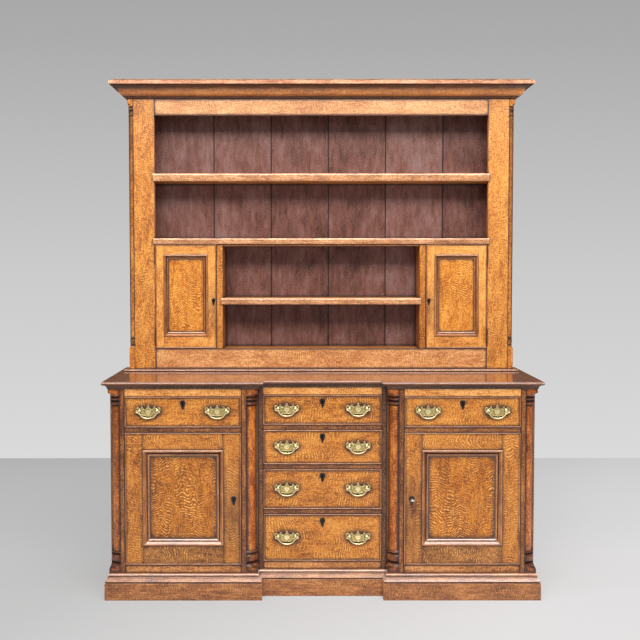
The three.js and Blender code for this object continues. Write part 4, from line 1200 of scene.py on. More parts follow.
@dataclass(frozen=True)
class BaseCase:
    """Ends, partitions, floor and back of the base."""

    plan: Plan
    nodes: Nodes
    panel: float = 0.022
    board_width: float = 0.165
    guide: float = 0.016
    joint_offset: float = 0.035
    joint_pitch: float = 0.261
    joint_gap: float = 0.0002
    joint_ease: float = 0.0008
    edge_board: float = 0.09
    panel_reach: float = 0.65
    nail_rows: int = 4
    nails_across: int = 3
    row_inset: float = 0.012
    nail_inset: float = 0.03
    nail_radius: float = 0.0032
    nail_rise: float = 0.0008
    # Painted shade on a back, which is nothing in its middle and grows towards its two ends over panel_reach
    side_shade: float = 0.62
    middle_shade: float = 0.85

    # Offset of the grain from one back board to the next, along and across it
    GRAIN_STEP = (3.7, 1.3)

    def upright(self, made: Joinery, face: float, axis: float, foot: float, y_end: float) -> None:
        """Adds an upright side with a post at its front.

        Args:
            made: What the members go into.
            face: X of its outer face.
            axis: X of the corner column's axis.
            foot: Z where it starts.
            y_end: Y where it ends.
        """
        plan = self.plan
        inward = math.copysign(1, axis - face)
        x, z = span(face, face + inward * self.panel), (foot, plan.z_board)
        count = round((y_end - plan.y_post) / self.board_width)
        step = (y_end - plan.y_post) / count
        for i in range(count):
            made.board(x, (plan.y_post + i * step, plan.y_post + (i + 1) * step), z, Grain.Z)
        made.board(span(face, axis), (plan.y_column, plan.y_post), z, Grain.Z)

    def back(self, name: str, node: str, reach: float, z: Span, finish: Finish) -> None:
        """Builds a back of upright boards with its nails.

        Args:
            name: Name of the piece.
            node: CAD node that it stands for.
            reach: Half of its width.
            z: Its limits in Z.
            finish: Its finish.
        """
        plan = self.plan
        y = (plan.y_panel + plan.y_back) / 2
        steps = range(-math.ceil(reach / self.joint_pitch), math.ceil(reach / self.joint_pitch) + 1)
        joints = [self.joint_offset + step * self.joint_pitch for step in steps]
        edges = [-reach, *(joint for joint in joints if abs(joint) <= reach - self.edge_board), reach]
        pairs = list(zip(edges, edges[1:]))
        centres = [Vector(((a + b) / 2, y, (z[0] + z[1]) / 2)) for a, b in pairs]
        settings = {"Height": z[1] - z[0], "Thickness": plan.y_back - plan.y_panel, "Gap": self.joint_gap}
        piece = self.nodes.run(name, self.nodes.boards, centres, [], finish, settings,
                               [b - a for a, b in pairs])
        self.grain(piece.data, pairs)
        ease = piece.modifiers.new("eased_joints", "BEVEL")
        ease.width = self.joint_ease
        ease.segments = BEVEL_SEGMENTS
        dress(piece, finish, "case", [node])
        levels = np.linspace(*grown(z, -self.row_inset), self.nail_rows)
        nails = [Vector((x, plan.y_back - self.nail_rise / 2, level)) for level in levels for pair in pairs
                 for x in np.linspace(*grown(pair, -self.nail_inset), self.nails_across)]
        settings = {"Radius": self.nail_radius, "Height": self.nail_rise}
        dress(self.nodes.run(f"{name}_nails", self.nodes.studs, nails, [], IRON, settings), IRON, "case")

    def grain(self, mesh: bpy.types.Mesh, pairs: Sequence[Span]) -> None:
        """Writes the grain of upright boards that a tree has made, and paints shade on them towards the
        back's two ends.

        Args:
            mesh: Their mesh.
            pairs: Limits of each board in X.
        """
        heights = [vert.co.z for vert in mesh.vertices]
        middle, reach = (max(heights) + min(heights)) / 2, (max(heights) - min(heights)) / 2
        # Painted shade towards the back's two ends, kept in the soil attribute
        waves = [self.middle_shade * math.cos(vert.co.x / self.panel_reach) for vert in mesh.vertices]
        keep(mesh, "soil", "POINT", [max(0.0, self.side_shade - wave) for wave in waves])
        along, across = self.GRAIN_STEP
        halves, grain, rims = [], [], []
        for face in mesh.polygons:
            board = next(i for i, pair in enumerate(pairs) if pair[0] <= face.center.x <= pair[1])
            low, high = pairs[board]
            halves.append((reach, (high - low) / 2, FAR))
            for place in (mesh.vertices[corner].co for corner in face.vertices):
                grain.append((place.z + board * along, place.x + board * across, place.y))
                rims.append((place.z - middle, place.x - (low + high) / 2, 0.0))
        keep(mesh, "half", "FACE", halves)
        keep(mesh, "grain", "CORNER", grain)
        keep(mesh, "rim", "CORNER", rims)

    def build(self) -> None:
        """Builds the case's hidden and outer boards."""
        plan = self.plan
        for end in Ends:
            side = end.value
            outer, inner = Joinery(f"end {end.name}"), Joinery(f"partition {end.name}")
            self.upright(outer, side * plan.half, side * plan.x_outer_column, plan.z_plinth, plan.y_back)
            outer.piece(f"base_end_{end.name}_boards", OAK, "case", [f"base_end_{end.name}"])
            self.upright(inner, side * plan.centre_half, side * plan.x_inner_column, plan.z_bottom,
                         plan.y_panel)
            inner.piece(f"partition_{end.name}_boards", INNER_OAK, "case", [f"partition_{end.name}"])
        floor = Joinery("base floor")
        z_floor = (plan.z_bottom - self.panel, plan.z_bottom)
        z_guide = (plan.z_bottom, plan.z_bottom + self.guide)
        behind = plan.FRAME_THICKNESS
        reach = plan.half - self.panel
        edges = np.linspace(plan.y_post, plan.y_panel, 4)
        for front, rear in zip(edges, edges[1:]):
            floor.board((-reach, reach), (front, rear), z_floor, Grain.X)
        x = (-plan.x_inner_column, plan.x_inner_column)
        floor.board(x, (plan.y_centre + behind, plan.y_post), z_floor, Grain.X)
        for end in Ends:
            x = end.span(plan.x_wing_inner, plan.x_wing_outer)
            floor.board(x, (plan.y_wing + behind, plan.y_post), z_floor, Grain.X)
            x = end.span(plan.centre_half, plan.x_centre_opening)
            floor.board(x, (plan.y_centre + behind, plan.y_panel), z_guide, Grain.Y)
        floor.piece("base_floor_boards", INNER_OAK, "case", ["base_bottom"])
        self.back("base_back_boards", "base_back", reach, (plan.z_plinth, plan.z_board), INNER_OAK)


@dataclass(frozen=True)
class FaceFrames:
    """Face frames of the two wings and of the centre bank, with the runners behind them."""

    plan: Plan
    thick: float = 0.022
    rail: float = 0.02
    tread: float = 0.017
    guide: float = 0.016
    side: float = 0.022
    strip_arris: float = 0.0022
    stile_arris: float = 0.001

    def runners(self, made: Joinery, end: Ends, wall: float, opening: float, z: float, y_rail: float) -> None:
        """Adds the tread and guide that carry one side of a drawer.

        Args:
            made: What the members go into.
            end: Side of the dresser that the opening's edge is on.
            wall: X of the side that carries them.
            opening: X of the opening's edge.
            z: Z that the drawer runs at.
            y_rail: Y of the rail's back.
        """
        inward = math.copysign(1, opening - wall)
        y = (y_rail, self.plan.y_panel)
        made.board(end.span(wall, opening + inward * self.tread), y, (z - self.rail, z), Grain.Y)
        made.board(end.span(wall, opening), y, (z, z + self.guide), Grain.Y)

    def wing(self, end: Ends, pocket: Joinery | None) -> None:
        """Builds the frame of one wing.

        Args:
            end: Which wing.
            pocket: Pocket that the lock's bolt slides into, where it has one.
        """
        plan = self.plan
        y_face, y_strip = (plan.y_wing, plan.y_wing + self.thick), (plan.y_wing, plan.y_post)
        z = (plan.z_plinth, plan.z_board)
        strip = Joinery(f"inner strip {end.name}")
        strip.board(end.span(plan.x_inner_column, plan.x_wing_inner), y_strip, z, Grain.Z, WORN_ARRIS)
        strip.piece(f"wing_{end.name}_inner_strip", RAIL_OAK, "case", cutters=[pocket] if pocket else ())
        across = end.span(plan.x_wing_inner, plan.x_wing_outer)
        top = Joinery(f"wing top rail {end.name}")
        top.board(across, y_face, (plan.z_top_rail, plan.z_board), Grain.X)
        top.piece(f"wing_{end.name}_top_rail", LIT_TOP_RAIL_OAK)
        foot = Joinery(f"wing bottom rail {end.name}")
        foot.board(across, y_face, (plan.z_plinth, plan.z_bottom), Grain.X)
        foot.piece(f"wing_{end.name}_bottom_rail", SILL_OAK)
        made = Joinery(f"wing frame {end.name}")
        made.board(end.span(plan.x_wing_outer, plan.x_outer_column), y_strip, z, Grain.Z, self.strip_arris)
        made.board(across, y_face, (plan.z_door_top, plan.z_wing_drawer), Grain.X)
        made.piece(f"wing_{end.name}_frame", RAIL_OAK, "case", [f"wing_frame_{end.name}"])
        inside = Joinery(f"wing runners {end.name}")
        self.runners(inside, end, plan.centre_half + self.side, plan.x_wing_inner, plan.z_wing_drawer,
                     plan.y_post)
        self.runners(inside, end, plan.half - self.side, plan.x_wing_outer, plan.z_wing_drawer, plan.y_post)
        inside.piece(f"wing_{end.name}_runners", INNER_OAK)

    def centre(self) -> None:
        """Builds the frame of the centre bank."""
        plan = self.plan
        y = (plan.y_centre, plan.y_centre + self.thick)
        made, inside = Joinery("centre frame"), Joinery("centre runners")
        for end in Ends:
            x = end.span(plan.x_centre_opening, plan.centre_half)
            made.board(x, y, (plan.z_plinth, plan.z_board), Grain.Z, self.stile_arris)
        made.piece("centre_bank_stiles", SHADED_OAK)
        made = Joinery("centre rails")
        across = (-plan.x_centre_opening, plan.x_centre_opening)
        foot = Joinery("centre bottom rail")
        foot.board(across, y, (plan.z_plinth, plan.z_bottom), Grain.X)
        foot.piece("centre_bank_bottom_rail", SILL_OAK)
        top = Joinery("centre top rail")
        top.board(across, y, (plan.z_top_rail, plan.z_board), Grain.X)
        top.piece("centre_bank_top_rail", LIT_TOP_RAIL_OAK)
        for number in (1, 2, 3):
            z_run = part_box(f"centre_drawer_{number}")[0].z - RUNNING_GAP
            made.board(across, y, (z_run - self.rail, z_run), Grain.X)
            for end in Ends:
                self.runners(inside, end, plan.centre_half, plan.x_centre_opening, z_run, y[1])
        made.piece("centre_bank_rails", RAIL_OAK, "case", ["centre_frame"])
        inside.piece("centre_bank_runners", INNER_OAK)


@dataclass(frozen=True)
class QuarterColumn:
    """Sizes of a turned corner post, of which a quarter shows."""

    square: float
    shaft: float
    foot: float
    foot_turning: float
    head: float
    head_turning: float
    tongue: float
    block_darkening: float = 0.0

    HEAD = (Stop(0, 0), Stop(-0.3, 0.08, -0.3), Stop(-0.3, 0.12), Stop(0.3, 0.14), Stop(0.62, 0.29, 0.4),
            Stop(0.3, 0.44, 0.4), Stop(-0.4, 0.48), Stop(-0.4, 0.64), Stop(0.3, 0.67), Stop(0.3, 0.92, 0.7),
            Stop(-0.4, 0.94), Stop(-0.4, 1))
    FOOT = (Stop(-0.5, 0), Stop(-0.5, 0.05), Stop(0.05, 0.08), Stop(0.8, 0.34, 0.3), Stop(0.3, 0.7, 0.36),
            Stop(-0.5, 0.72), Stop(-0.5, 0.78), Stop(0.5, 0.8), Stop(0.5, 0.9, 0.8), Stop(0, 1, -0.2))
    TONGUE = (Stop(0, 0), Stop(0.62, 0.3, -0.2), Stop(1, 1, -0.2))
    # Darkening of the upper block, as a share of the lower one's, and of the turned feet and heads
    HEAD_SHARE = 0.3
    TURNED_DARKENING = 0.65
    OVERSIZE = 0.004

    def soil(self, z: Span) -> Soil:
        """Darkening that covers the blocks, feet and heads between two heights."""
        foot, head = z[0] + self.foot, z[1] - self.head

        def share(place: Vector) -> float:
            """Darkening at a point."""
            if place.z < foot or place.z > head:
                return self.block_darkening if place.z < foot else self.block_darkening * self.HEAD_SHARE
            plain = foot + self.foot_turning < place.z < head - self.head_turning
            return 0.0 if plain else self.TURNED_DARKENING

        return share

    def profile(self, z: Span) -> list[Point]:
        """The turned profile of a post.

        Args:
            z: Heights of its foot and head.

        Returns:
            The profile as (radius, z) points.
        """
        corner = self.square * math.sqrt(2) + self.OVERSIZE
        depth = self.square - self.shaft
        foot, head = z[0] + self.foot, z[1] - self.head
        tongue = drawn(self.TONGUE, 1.0, 1.0, steps=10)

        def turned(stops: Sequence[Stop], start: float, height: float) -> list[Point]:
            """Turned stretch that starts at a height."""
            return [(self.shaft + out, up) for out, up in drawn(stops, depth, height, start, 6)]

        low = [(corner - out * (corner - self.shaft), foot - self.tongue + up * self.tongue)
               for out, up in tongue]
        high = [(corner - out * (corner - self.shaft), head + self.tongue - up * self.tongue)
                for out, up in tongue]
        return [(corner, z[0]), *low, *turned(self.FOOT, foot, self.foot_turning),
                *turned(self.HEAD, head - self.head_turning, self.head_turning), *reversed(high),
                (corner, z[1])]


@dataclass(frozen=True)
class Columns:
    """The four quarter columns of the base."""

    plan: Plan

    def build(self) -> None:
        """Builds the columns."""
        plan = self.plan
        post = QuarterColumn(plan.column_square, shaft=0.036, foot=0.036, foot_turning=0.054, head=0.054,
                             head_turning=0.037, tongue=0.022, block_darkening=0.5)
        z = (plan.z_plinth, plan.z_board)
        for end in Ends:
            for place, axis, side in (("outer", plan.x_outer_column, end.value),
                                      ("inner", plan.x_inner_column, -end.value)):
                name = f"{place}_column_{end.name}"
                made = Joinery(name)
                made.quarter_post((end.value * axis, plan.y_column), side, post.square, post.profile(z))
                made.piece(f"{name}_turning", COLUMN_OAK, "case", [name], soil=post.soil(z))


@dataclass(frozen=True)
class Rack:
    """The plate rack: face frame, ends with thin quarter columns, shelves, small cupboards and back."""

    plan: Plan
    case: BaseCase
    foot_overhang: float = 0.021
    foot_height: float = 0.008
    floor: float = 0.018
    nose: float = 0.008
    strip: float = 0.009
    dust: float = 0.015
    stile_arris: float = 0.0018

    FOOT = (Stop(-0.1, 0), Stop(0, 0.3, 0.3), Stop(0, 0.7, 0.2), Stop(-0.12, 1, 0.3))
    NOSE = (Stop(0, 0), Stop(0.62, 0.02), Stop(0.86, 0.12, 0.3), Stop(1, 0.4, 0.15), Stop(1, 0.6, 0.1),
            Stop(0.45, 1, 0.4), Stop(0, 1))

    def frame(self) -> None:
        """Builds the face frame and the foot board."""
        plan = self.plan
        y, foot = (plan.y_rack, plan.y_rack_frame), plan.z_board_top + self.foot_height
        made = Joinery("rack frame")
        for end in Ends:
            x = end.span(plan.x_rack_opening, plan.x_rack_end)
            made.board(x, y, (foot, plan.z_cornice), Grain.Z, self.stile_arris)
        made.piece("rack_stiles", RACK_OAK)
        made = Joinery("rack rails")
        across = (-plan.x_rack_opening, plan.x_rack_opening)
        made.board(across, y, (foot, plan.z_rack_floor), Grain.X, WORN_ARRIS)
        made.board(across, y, (plan.z_frieze, plan.z_cornice), Grain.X, WORN_ARRIS)
        made.piece("rack_rails", SHEEN_RACK_RAIL_OAK, "case", ["rack_frame"])
        board = Joinery("rack foot")
        path = plan.rack_path(plan.y_rack - self.foot_overhang, plan.rack_half + self.foot_overhang)
        board.slab(drawn(self.FOOT, self.foot_overhang, self.foot_height, plan.z_board_top), path, Grain.X)
        board.piece("rack_foot_board", SHEEN_FASCIA_OAK)

    def ends(self) -> None:
        """Builds the ends and their thin columns."""
        plan = self.plan
        post = QuarterColumn(plan.rack_square, shaft=0.02, foot=0.105, foot_turning=0.042, head=0.035,
                             head_turning=0.042, tongue=0.016)
        y_axis, z = plan.y_rack + plan.rack_square, (plan.z_rack, plan.z_cornice)
        for end in Ends:
            side = end.value
            column = Joinery(f"rack column {end.name}")
            column.quarter_post((side * plan.x_rack_end, y_axis), side, post.square, post.profile(z), 16)
            column.piece(f"rack_column_{end.name}", RACK_COLUMN_OAK, soil=post.soil(z))
            boards = Joinery(f"rack end {end.name}")
            boards.board(end.span(plan.x_rack_end, plan.rack_half), (y_axis, plan.y_back), z, Grain.Z)
            boards.piece(f"rack_end_{end.name}_board", OAK, "case", [f"rack_end_{end.name}"])

    def shelf(self, node: str, z: Span, x_nose: float, x_face: float, x_body: float) -> None:
        """Builds a shelf with its nosing.

        Args:
            node: CAD node that it stands for.
            z: Its limits in Z.
            x_nose: Half of the nosing's length.
            x_face: Half of the shelf's length between the stiles.
            x_body: Half of its length behind them.
        """
        plan = self.plan
        made = Joinery(node)
        made.board((-x_face, x_face), (plan.y_rack, plan.y_rack_frame), z, Grain.X, 0.0)
        made.board((-x_body, x_body), (plan.y_rack_frame, plan.y_panel), z, Grain.X)
        made.piece(f"{node}_board", RACK_OAK, "case", [node])
        edge = Joinery(f"{node} nose")
        outline = drawn(self.NOSE, self.nose, z[1] - z[0], z[0])
        edge.moulding(outline, [Vector((-x_nose, plan.y_rack, 0)), Vector((x_nose, plan.y_rack, 0))], UP)
        edge.piece(f"{node}_nosing", NOSE_OAK)

    def shelves(self) -> None:
        """Builds the three shelves and the strip beneath the second one."""
        plan = self.plan
        wide, narrow = plan.x_rack_opening, plan.x_post_inner
        top, second, middle = (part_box(node) for node in ("top_shelf", "second_shelf", "middle_shelf"))
        self.shelf("top_shelf", (top[0].z, top[1].z), wide + plan.SHELF_LAP, wide, plan.x_rack_end)
        self.shelf("second_shelf", (plan.z_second, second[1].z), wide + plan.SHELF_LAP, wide, plan.x_rack_end)
        self.shelf("middle_shelf", (middle[0].z, middle[1].z), narrow + plan.SHELF_LAP, narrow, narrow)
        strip = Joinery("centre strip")
        z_strip = (plan.z_second - self.strip, plan.z_second)
        strip.board((-narrow, narrow), (plan.y_rack, plan.y_rack_frame), z_strip, Grain.X)
        strip.piece("second_shelf_strip", OAK)

    def cupboards(self) -> None:
        """Builds the floor and the partitions of the small cupboards."""
        plan = self.plan
        made = Joinery("cupboard case")
        z_under = plan.z_rack_floor - self.floor
        for end in Ends:
            x, z = end.span(plan.x_post_inner, plan.x_post_outer), (plan.z_rack_floor, plan.z_second)
            made.board(x, (plan.y_rack, plan.y_rack_frame), z, Grain.Z, WORN_ARRIS)
            made.board(x, (plan.y_rack_frame, plan.y_panel), (z_under, plan.z_second), Grain.Z)
        made.board((-plan.x_rack_end, plan.x_rack_end), (plan.y_rack_frame, plan.y_panel),
                   (z_under, plan.z_rack_floor), Grain.X)
        made.piece("cupboard_case_boards", OAK, "case", ["cupboard_case"])

    def build(self) -> None:
        """Builds the whole rack."""
        self.frame()
        self.ends()
        self.shelves()
        self.cupboards()
        z = (self.plan.z_rack, self.plan.z_top - self.dust)
        self.case.back("rack_back_boards", "rack_back", self.plan.x_rack_end, z, STAIN)


@dataclass(frozen=True)
class Cornice:
    """Moulded cornice under a dust board, mitred at the front corners."""

    plan: Plan
    overhang: float = 0.07
    dust: float = 0.015

    CYMA = (Stop(0.03, 0), Stop(0.12, 0.03), Stop(0.12, 0.1), Stop(0.2, 0.11), Stop(0.46, 0.34, 0.3),
            Stop(0.86, 0.66, -0.32), Stop(0.86, 0.7))
    FASCIA = (Stop(0.7, 0.7), Stop(0.98, 0.7), Stop(1, 0.73), Stop(1, 0.86), Stop(0.76, 1))
    # Share of its height where the moulding is left unshaded, and how fast painted shade sets in away from
    # there
    BELLY = 0.27
    ONSET = 4.2
    UNSHADED = 0.45

    def soil(self, place: Vector) -> float:
        """Painted shade in the hollow under the fascia and under the moulding's foot, at a point."""
        plan = self.plan
        share = (place.z - plan.z_cornice) / (plan.z_top - plan.z_cornice)
        return min(1.0, max(0.0, self.ONSET * abs(share - self.BELLY) - self.UNSHADED))

    def build(self) -> None:
        """Builds the moulding and the dust board."""
        plan = self.plan
        made = Joinery("cornice")
        wall, height = plan.rack_square, plan.z_top - plan.z_cornice
        path = plan.rack_path(plan.y_rack, plan.rack_half)
        cyma = drawn(self.CYMA, self.overhang, height, plan.z_cornice, 8)
        made.moulding([*cyma, (-wall, cyma[-1][1]), (-wall, plan.z_cornice)], path, UP)
        made.piece("cornice_cyma", CORNICE_OAK, "case", ["cornice"], soil=self.soil)
        fascia = drawn(self.FASCIA, self.overhang, height, plan.z_cornice)
        made = Joinery("cornice fascia")
        made.moulding([(-wall, fascia[0][1]), *fascia[1:], (-wall, plan.z_top)], path, UP)
        made.piece("cornice_fascia", SHEEN_FASCIA_OAK)
        cover = Joinery("dust board")
        edges = np.linspace(plan.y_rack + wall, plan.y_back, 3)
        x, z = (-plan.x_rack_end, plan.x_rack_end), (plan.z_top - self.dust, plan.z_top)
        for y in zip(edges, edges[1:]):
            cover.board(x, y, z, Grain.X)
        cover.piece("cornice_dust_boards", INNER_OAK)


def outline_prism(seed: str, outline: Sequence[Point], y: Span, arris: float = 0.0) -> Joinery:
    """A body whose outline lies in the upright plane that faces the front.

    Args:
        seed: Text that fixes its random offsets.
        outline: (x, z) points.
        y: Its limits in Y.
        arris: Width by which its edges are eased.

    Returns:
        The body, as the only member of a piece.
    """
    made = Joinery(seed)
    made.loft([[Vector((x, depth, z)) for x, z in outline] for depth in y], UP, Vector((1, 0, 0)), arris)
    return made


@dataclass(frozen=True)
class Keyhole:
    """A keyhole through a face, in a pointed inlay of blackened wood."""

    x: float
    z: float
    y_face: float
    width: float = 0.023
    height: float = 0.04
    proud: float = 0.0004
    radius: float = 0.004
    slot_width: float = 0.004
    slot: float = 0.013
    depth: float = 0.03
    clearance: float = 0.01
    let_in: float = 0.003
    arris: float = 0.0003

    ARC = 24
    DROP = (Stop(0, -0.72), Stop(0.12, -0.7, 0.3), Stop(0.62, -0.3, 0.06), Stop(1, 0.02, 0.12),
            Stop(0.62, 0.24, 0.28), Stop(0, 0.28, 0.12))

    def cutter(self) -> Joinery:
        """The body that cuts the hole."""
        start = math.asin(self.slot_width / 2 / self.radius)
        turns = [start + (2 * math.pi - 2 * start) * i / self.ARC for i in range(self.ARC + 1)]
        ring = [(self.x + self.radius * math.sin(turn), self.z - self.radius * math.cos(turn))
                for turn in turns]
        half, foot = self.slot_width / 2, self.z - self.slot
        outline = ring + [(self.x - half, foot), (self.x + half, foot)]
        return outline_prism("keyhole", outline, (self.y_face - self.clearance, self.y_face + self.depth))

    def inlay(self, name: str, body: str) -> None:
        """Builds the inlay round the hole.

        Args:
            name: Name of the piece.
            body: Body that it rides on.
        """
        drop = mirrored(drawn(self.DROP, self.width / 2, self.height, self.z, 6))
        y = (self.y_face - self.proud, self.y_face + self.let_in)
        made = outline_prism(name, [(self.x + x, z) for x, z in drop], y, self.arris)
        made.piece(name, EBONY, body, cutters=[self.cutter()])


@dataclass(frozen=True)
class DoorSizes:
    """Widths of a panelled door's members."""

    stile: float
    top_rail: float
    bottom_rail: float
    moulding: float
    knuckle: float
    hinge_inset: float
    thick: float = 0.022
    rise: float = 0.007
    recess: float = 0.01
    bead: float = 0.004
    bead_rise: float = 0.0024


@dataclass(frozen=True)
class DoorFinishes:
    """Finishes of a door's members."""

    frame: Finish
    foot: Finish
    panel: Finish


BASE_FINISHES = DoorFinishes(DOOR_OAK, FOOT_OAK, PANEL_OAK)
RACK_FINISHES = DoorFinishes(SMALL_FRAME_OAK, SMALL_FRAME_OAK, SMALL_OAK)
BASE_DOOR = DoorSizes(stile=0.073, top_rail=0.071, bottom_rail=0.079, moulding=0.03, knuckle=0.064,
                      hinge_inset=0.075)
RACK_DOOR = DoorSizes(stile=0.038, top_rail=0.045, bottom_rail=0.053, moulding=0.021, knuckle=0.078,
                      hinge_inset=0.012, rise=0.0045, recess=0.007)


def bead_outline(width: float, rise: float, depth: float) -> list[Point]:
    """Section of a half-round bead on the outer edge of a door or drawer front.

    Args:
        width: Its width.
        rise: How far it stands out.
        depth: How far it is let in.

    Returns:
        The section as (out, up) points.
    """
    bulge = 0.62
    shoulder = rise - bulge * width / 2
    top = arc_between(Vector((0.0, shoulder)), Vector((-width, shoulder)), bulge, 6)
    return [(0.0, -depth), (0.0, shoulder), *((point.x, point.y) for point in top), (-width, -depth)]


def rectangle(x: Span, z: Span, y: float) -> list[Vector]:
    """Corners of an upright rectangle, in the order in which a swept profile points away from its middle."""
    return [Vector((x[i], y, z[j])) for i, j in CORNERS]


@dataclass(frozen=True)
class PanelDoor:
    """A door with stiles, rails, a planted moulding, a sunk panel, a cockbead and a keyhole."""

    node: str
    sizes: DoorSizes
    finishes: DoorFinishes
    keyhole: Keyhole
    side: int
    cell: float = 0.012
    panel_back: float = 0.004

    PLANTED = (Stop(0, -0.4), Stop(0, 0.4), Stop(-0.12, 0.76, 0.06), Stop(-0.2, 0.76, 0.12),
               Stop(-0.215, 0.6))
    SUNK = (Stop(-0.22, 0.42), Stop(-0.57, -0.88), Stop(-0.6, -0.92), Stop(-0.62, -0.56),
            Stop(-0.65, -0.5, 0.3), Stop(-0.7, -0.5), Stop(-0.83, -0.78), Stop(-0.84, -0.92),
            Stop(-1, -0.94), Stop(-1, -1.3))
    # Shares of the moulding's width that bound its darkened bands: painted shade on the slope, grime and
    # painted shade in the quirk and at the edge of the panel
    SHADE_AND_GRIME_SHARES = (0.24, 0.58, 0.61, 0.835)
    SLOPE_SHADE = 0.9
    # Grime that hands leave: its strength, its reach in widths of the stile, and its length over its width
    HAND = (0.7, 1.5, 4)
    PANEL_INSET = 0.8

    def soil(self, place: Vector) -> float:
        """Grime that hands have left on the lock stile, at a point."""
        (strength, reach, length), hole = self.HAND, self.keyhole
        away = math.hypot(place.x - hole.x, (place.z - hole.z + self.sizes.stile) / length)
        return max(0.0, strength - away / (reach * self.sizes.stile))

    def grime(self, x: Span, z: Span) -> Soil:
        """Painted shade on the slopes of the top and side members, which face away from the light, and grime
        with painted shade in the quirk and at the panel's edge.

        Args:
            x: Limits of the moulding in X.
            z: Its limits in Z.

        Returns:
            The share of grime at a point.
        """
        slope, quirk, bead, panel = self.SHADE_AND_GRIME_SHARES

        def share(place: Vector) -> float:
            """Grime and painted shade at a point."""
            away = min(place.x - x[0], x[1] - place.x, place.z - z[0], z[1] - place.z)
            upward = place.z - z[0] <= away + ARRIS
            inward = away / self.sizes.moulding
            if inward > panel or quirk < inward < bead:
                return 1.0
            return self.SLOPE_SHADE if slope < inward < bead and not upward else 0.0

        return share

    def moulding(self) -> list[Point]:
        """Section of the planted moulding, from its outer edge to the panel."""
        sizes = self.sizes
        high = drawn(self.PLANTED, sizes.moulding, sizes.rise)
        low = drawn(self.SUNK, sizes.moulding, sizes.recess)
        return [*high, *low[1:], (0.0, -1.3 * sizes.recess)]

    def build(self, cutters: Sequence[Joinery] = ()) -> None:
        """Builds the door.

        Args:
            cutters: What is cut out of the lock stile besides the keyhole.
        """
        low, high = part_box(self.node)
        sizes, y_face = self.sizes, self.keyhole.y_face
        x, z = (low.x, high.x), (low.z, high.z)
        y = (y_face, y_face + sizes.thick)
        x_panel = (x[0] + sizes.stile, x[1] - sizes.stile)
        z_panel = (z[0] + sizes.bottom_rail, z[1] - sizes.top_rail)
        stiles = [(x[0], x_panel[0]), (x_panel[1], x[1])]
        lock, hung = stiles if self.side > 0 else stiles[::-1]
        stile = Joinery(f"{self.node} lock stile")
        stile.board(lock, y, z, Grain.Z, CRISP_ARRIS)
        stile.cells(self.cell)
        stile.piece(f"{self.node}_lock_stile", self.finishes.frame, self.node,
                    cutters=[self.keyhole.cutter(), *cutters], soil=self.soil)
        made = Joinery(self.node)
        made.board(hung, y, z, Grain.Z, CRISP_ARRIS)
        made.board(x_panel, y, (z_panel[1], z[1]), Grain.X, CRISP_ARRIS)
        made.piece(f"{self.node}_frame", self.finishes.frame, self.node, [self.node])
        foot = Joinery(f"{self.node} bottom rail")
        foot.board(x_panel, y, (z[0], z_panel[0]), Grain.X, CRISP_ARRIS)
        foot.piece(f"{self.node}_bottom_rail", self.finishes.foot, self.node)
        panel = Joinery(f"{self.node} panel")
        inset = self.PANEL_INSET * sizes.moulding
        y_panel = (y_face + sizes.recess, y_face + sizes.thick - self.panel_back)
        panel.board(grown(x_panel, -inset), y_panel, grown(z_panel, -inset), Grain.Z)
        panel.piece(f"{self.node}_panel", self.finishes.panel, self.node)
        trim = Joinery(f"{self.node} moulding")
        trim.moulding(self.moulding(), rectangle(x_panel, z_panel, y_face), FRONT, True)
        trim.piece(f"{self.node}_moulding", MOULDED_OAK, self.node, soil=self.grime(x_panel, z_panel))
        bead = Joinery(f"{self.node} bead")
        section = bead_outline(sizes.bead, sizes.bead_rise, sizes.bead)
        bead.moulding(section, rectangle(x, z, y_face), FRONT, True)
        bead.piece(f"{self.node}_bead", MOULDED_OAK, self.node)
        self.keyhole.inlay(f"{self.node}_inlay", self.node)


@dataclass(frozen=True)
class Hinges:
    """Brass butts of one door: knuckles on the joint's axis, shared by door and case, and thin leaves."""

    node: str
    sizes: DoorSizes
    y_face: float
    side: int
    reach: float = 0.003
    radius: float = 0.0027
    leaf: float = 0.0003
    leaf_width: float = 0.016
    knuckles: int = 5
    taper: float = 0.8
    ease: float = 0.0006
    gap: float = 0.0001

    def build(self) -> None:
        """Builds the two halves of the hinges."""
        low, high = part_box(self.node)
        edge = high.x if self.side > 0 else -low.x
        x_axis = self.side * (edge + HINGE_GAP)
        foot = self.sizes.hinge_inset
        starts = (low.z + foot, high.z - foot - self.sizes.knuckle)
        halves = {"case": Joinery(f"{self.node} case leaves"), self.node: Joinery(f"{self.node} door leaves")}
        axis = Vector((x_axis, self.y_face - self.reach, 0))
        step = self.sizes.knuckle / self.knuckles
        knuckle = [(self.radius * self.taper, self.gap), (self.radius, self.ease),
                   (self.radius, step - self.ease), (self.radius * self.taper, step - self.gap)]
        for start in starts:
            for i in range(self.knuckles):
                made = halves["case" if i % 2 == 0 else self.node]
                made.turning(axis + UP * (start + i * step), UP, knuckle, 16)
            y_leaf = (self.y_face - self.reach + self.radius * 0.5, self.y_face + self.leaf_width)
            z_leaf = (start, start + self.sizes.knuckle)
            for body, near in (("case", 0.0), (self.node, HINGE_GAP)):
                inner = x_axis - self.side * near
                outer = inner - self.side * self.leaf if body == "case" else inner + self.side * self.leaf
                halves[body].board(span(inner, outer), y_leaf, z_leaf, Grain.Z, 0.0)
        for body, made in halves.items():
            label = "case" if body == "case" else "door"
            made.piece(f"{self.node}_hinges_{label}", AGED_BRASS, body)


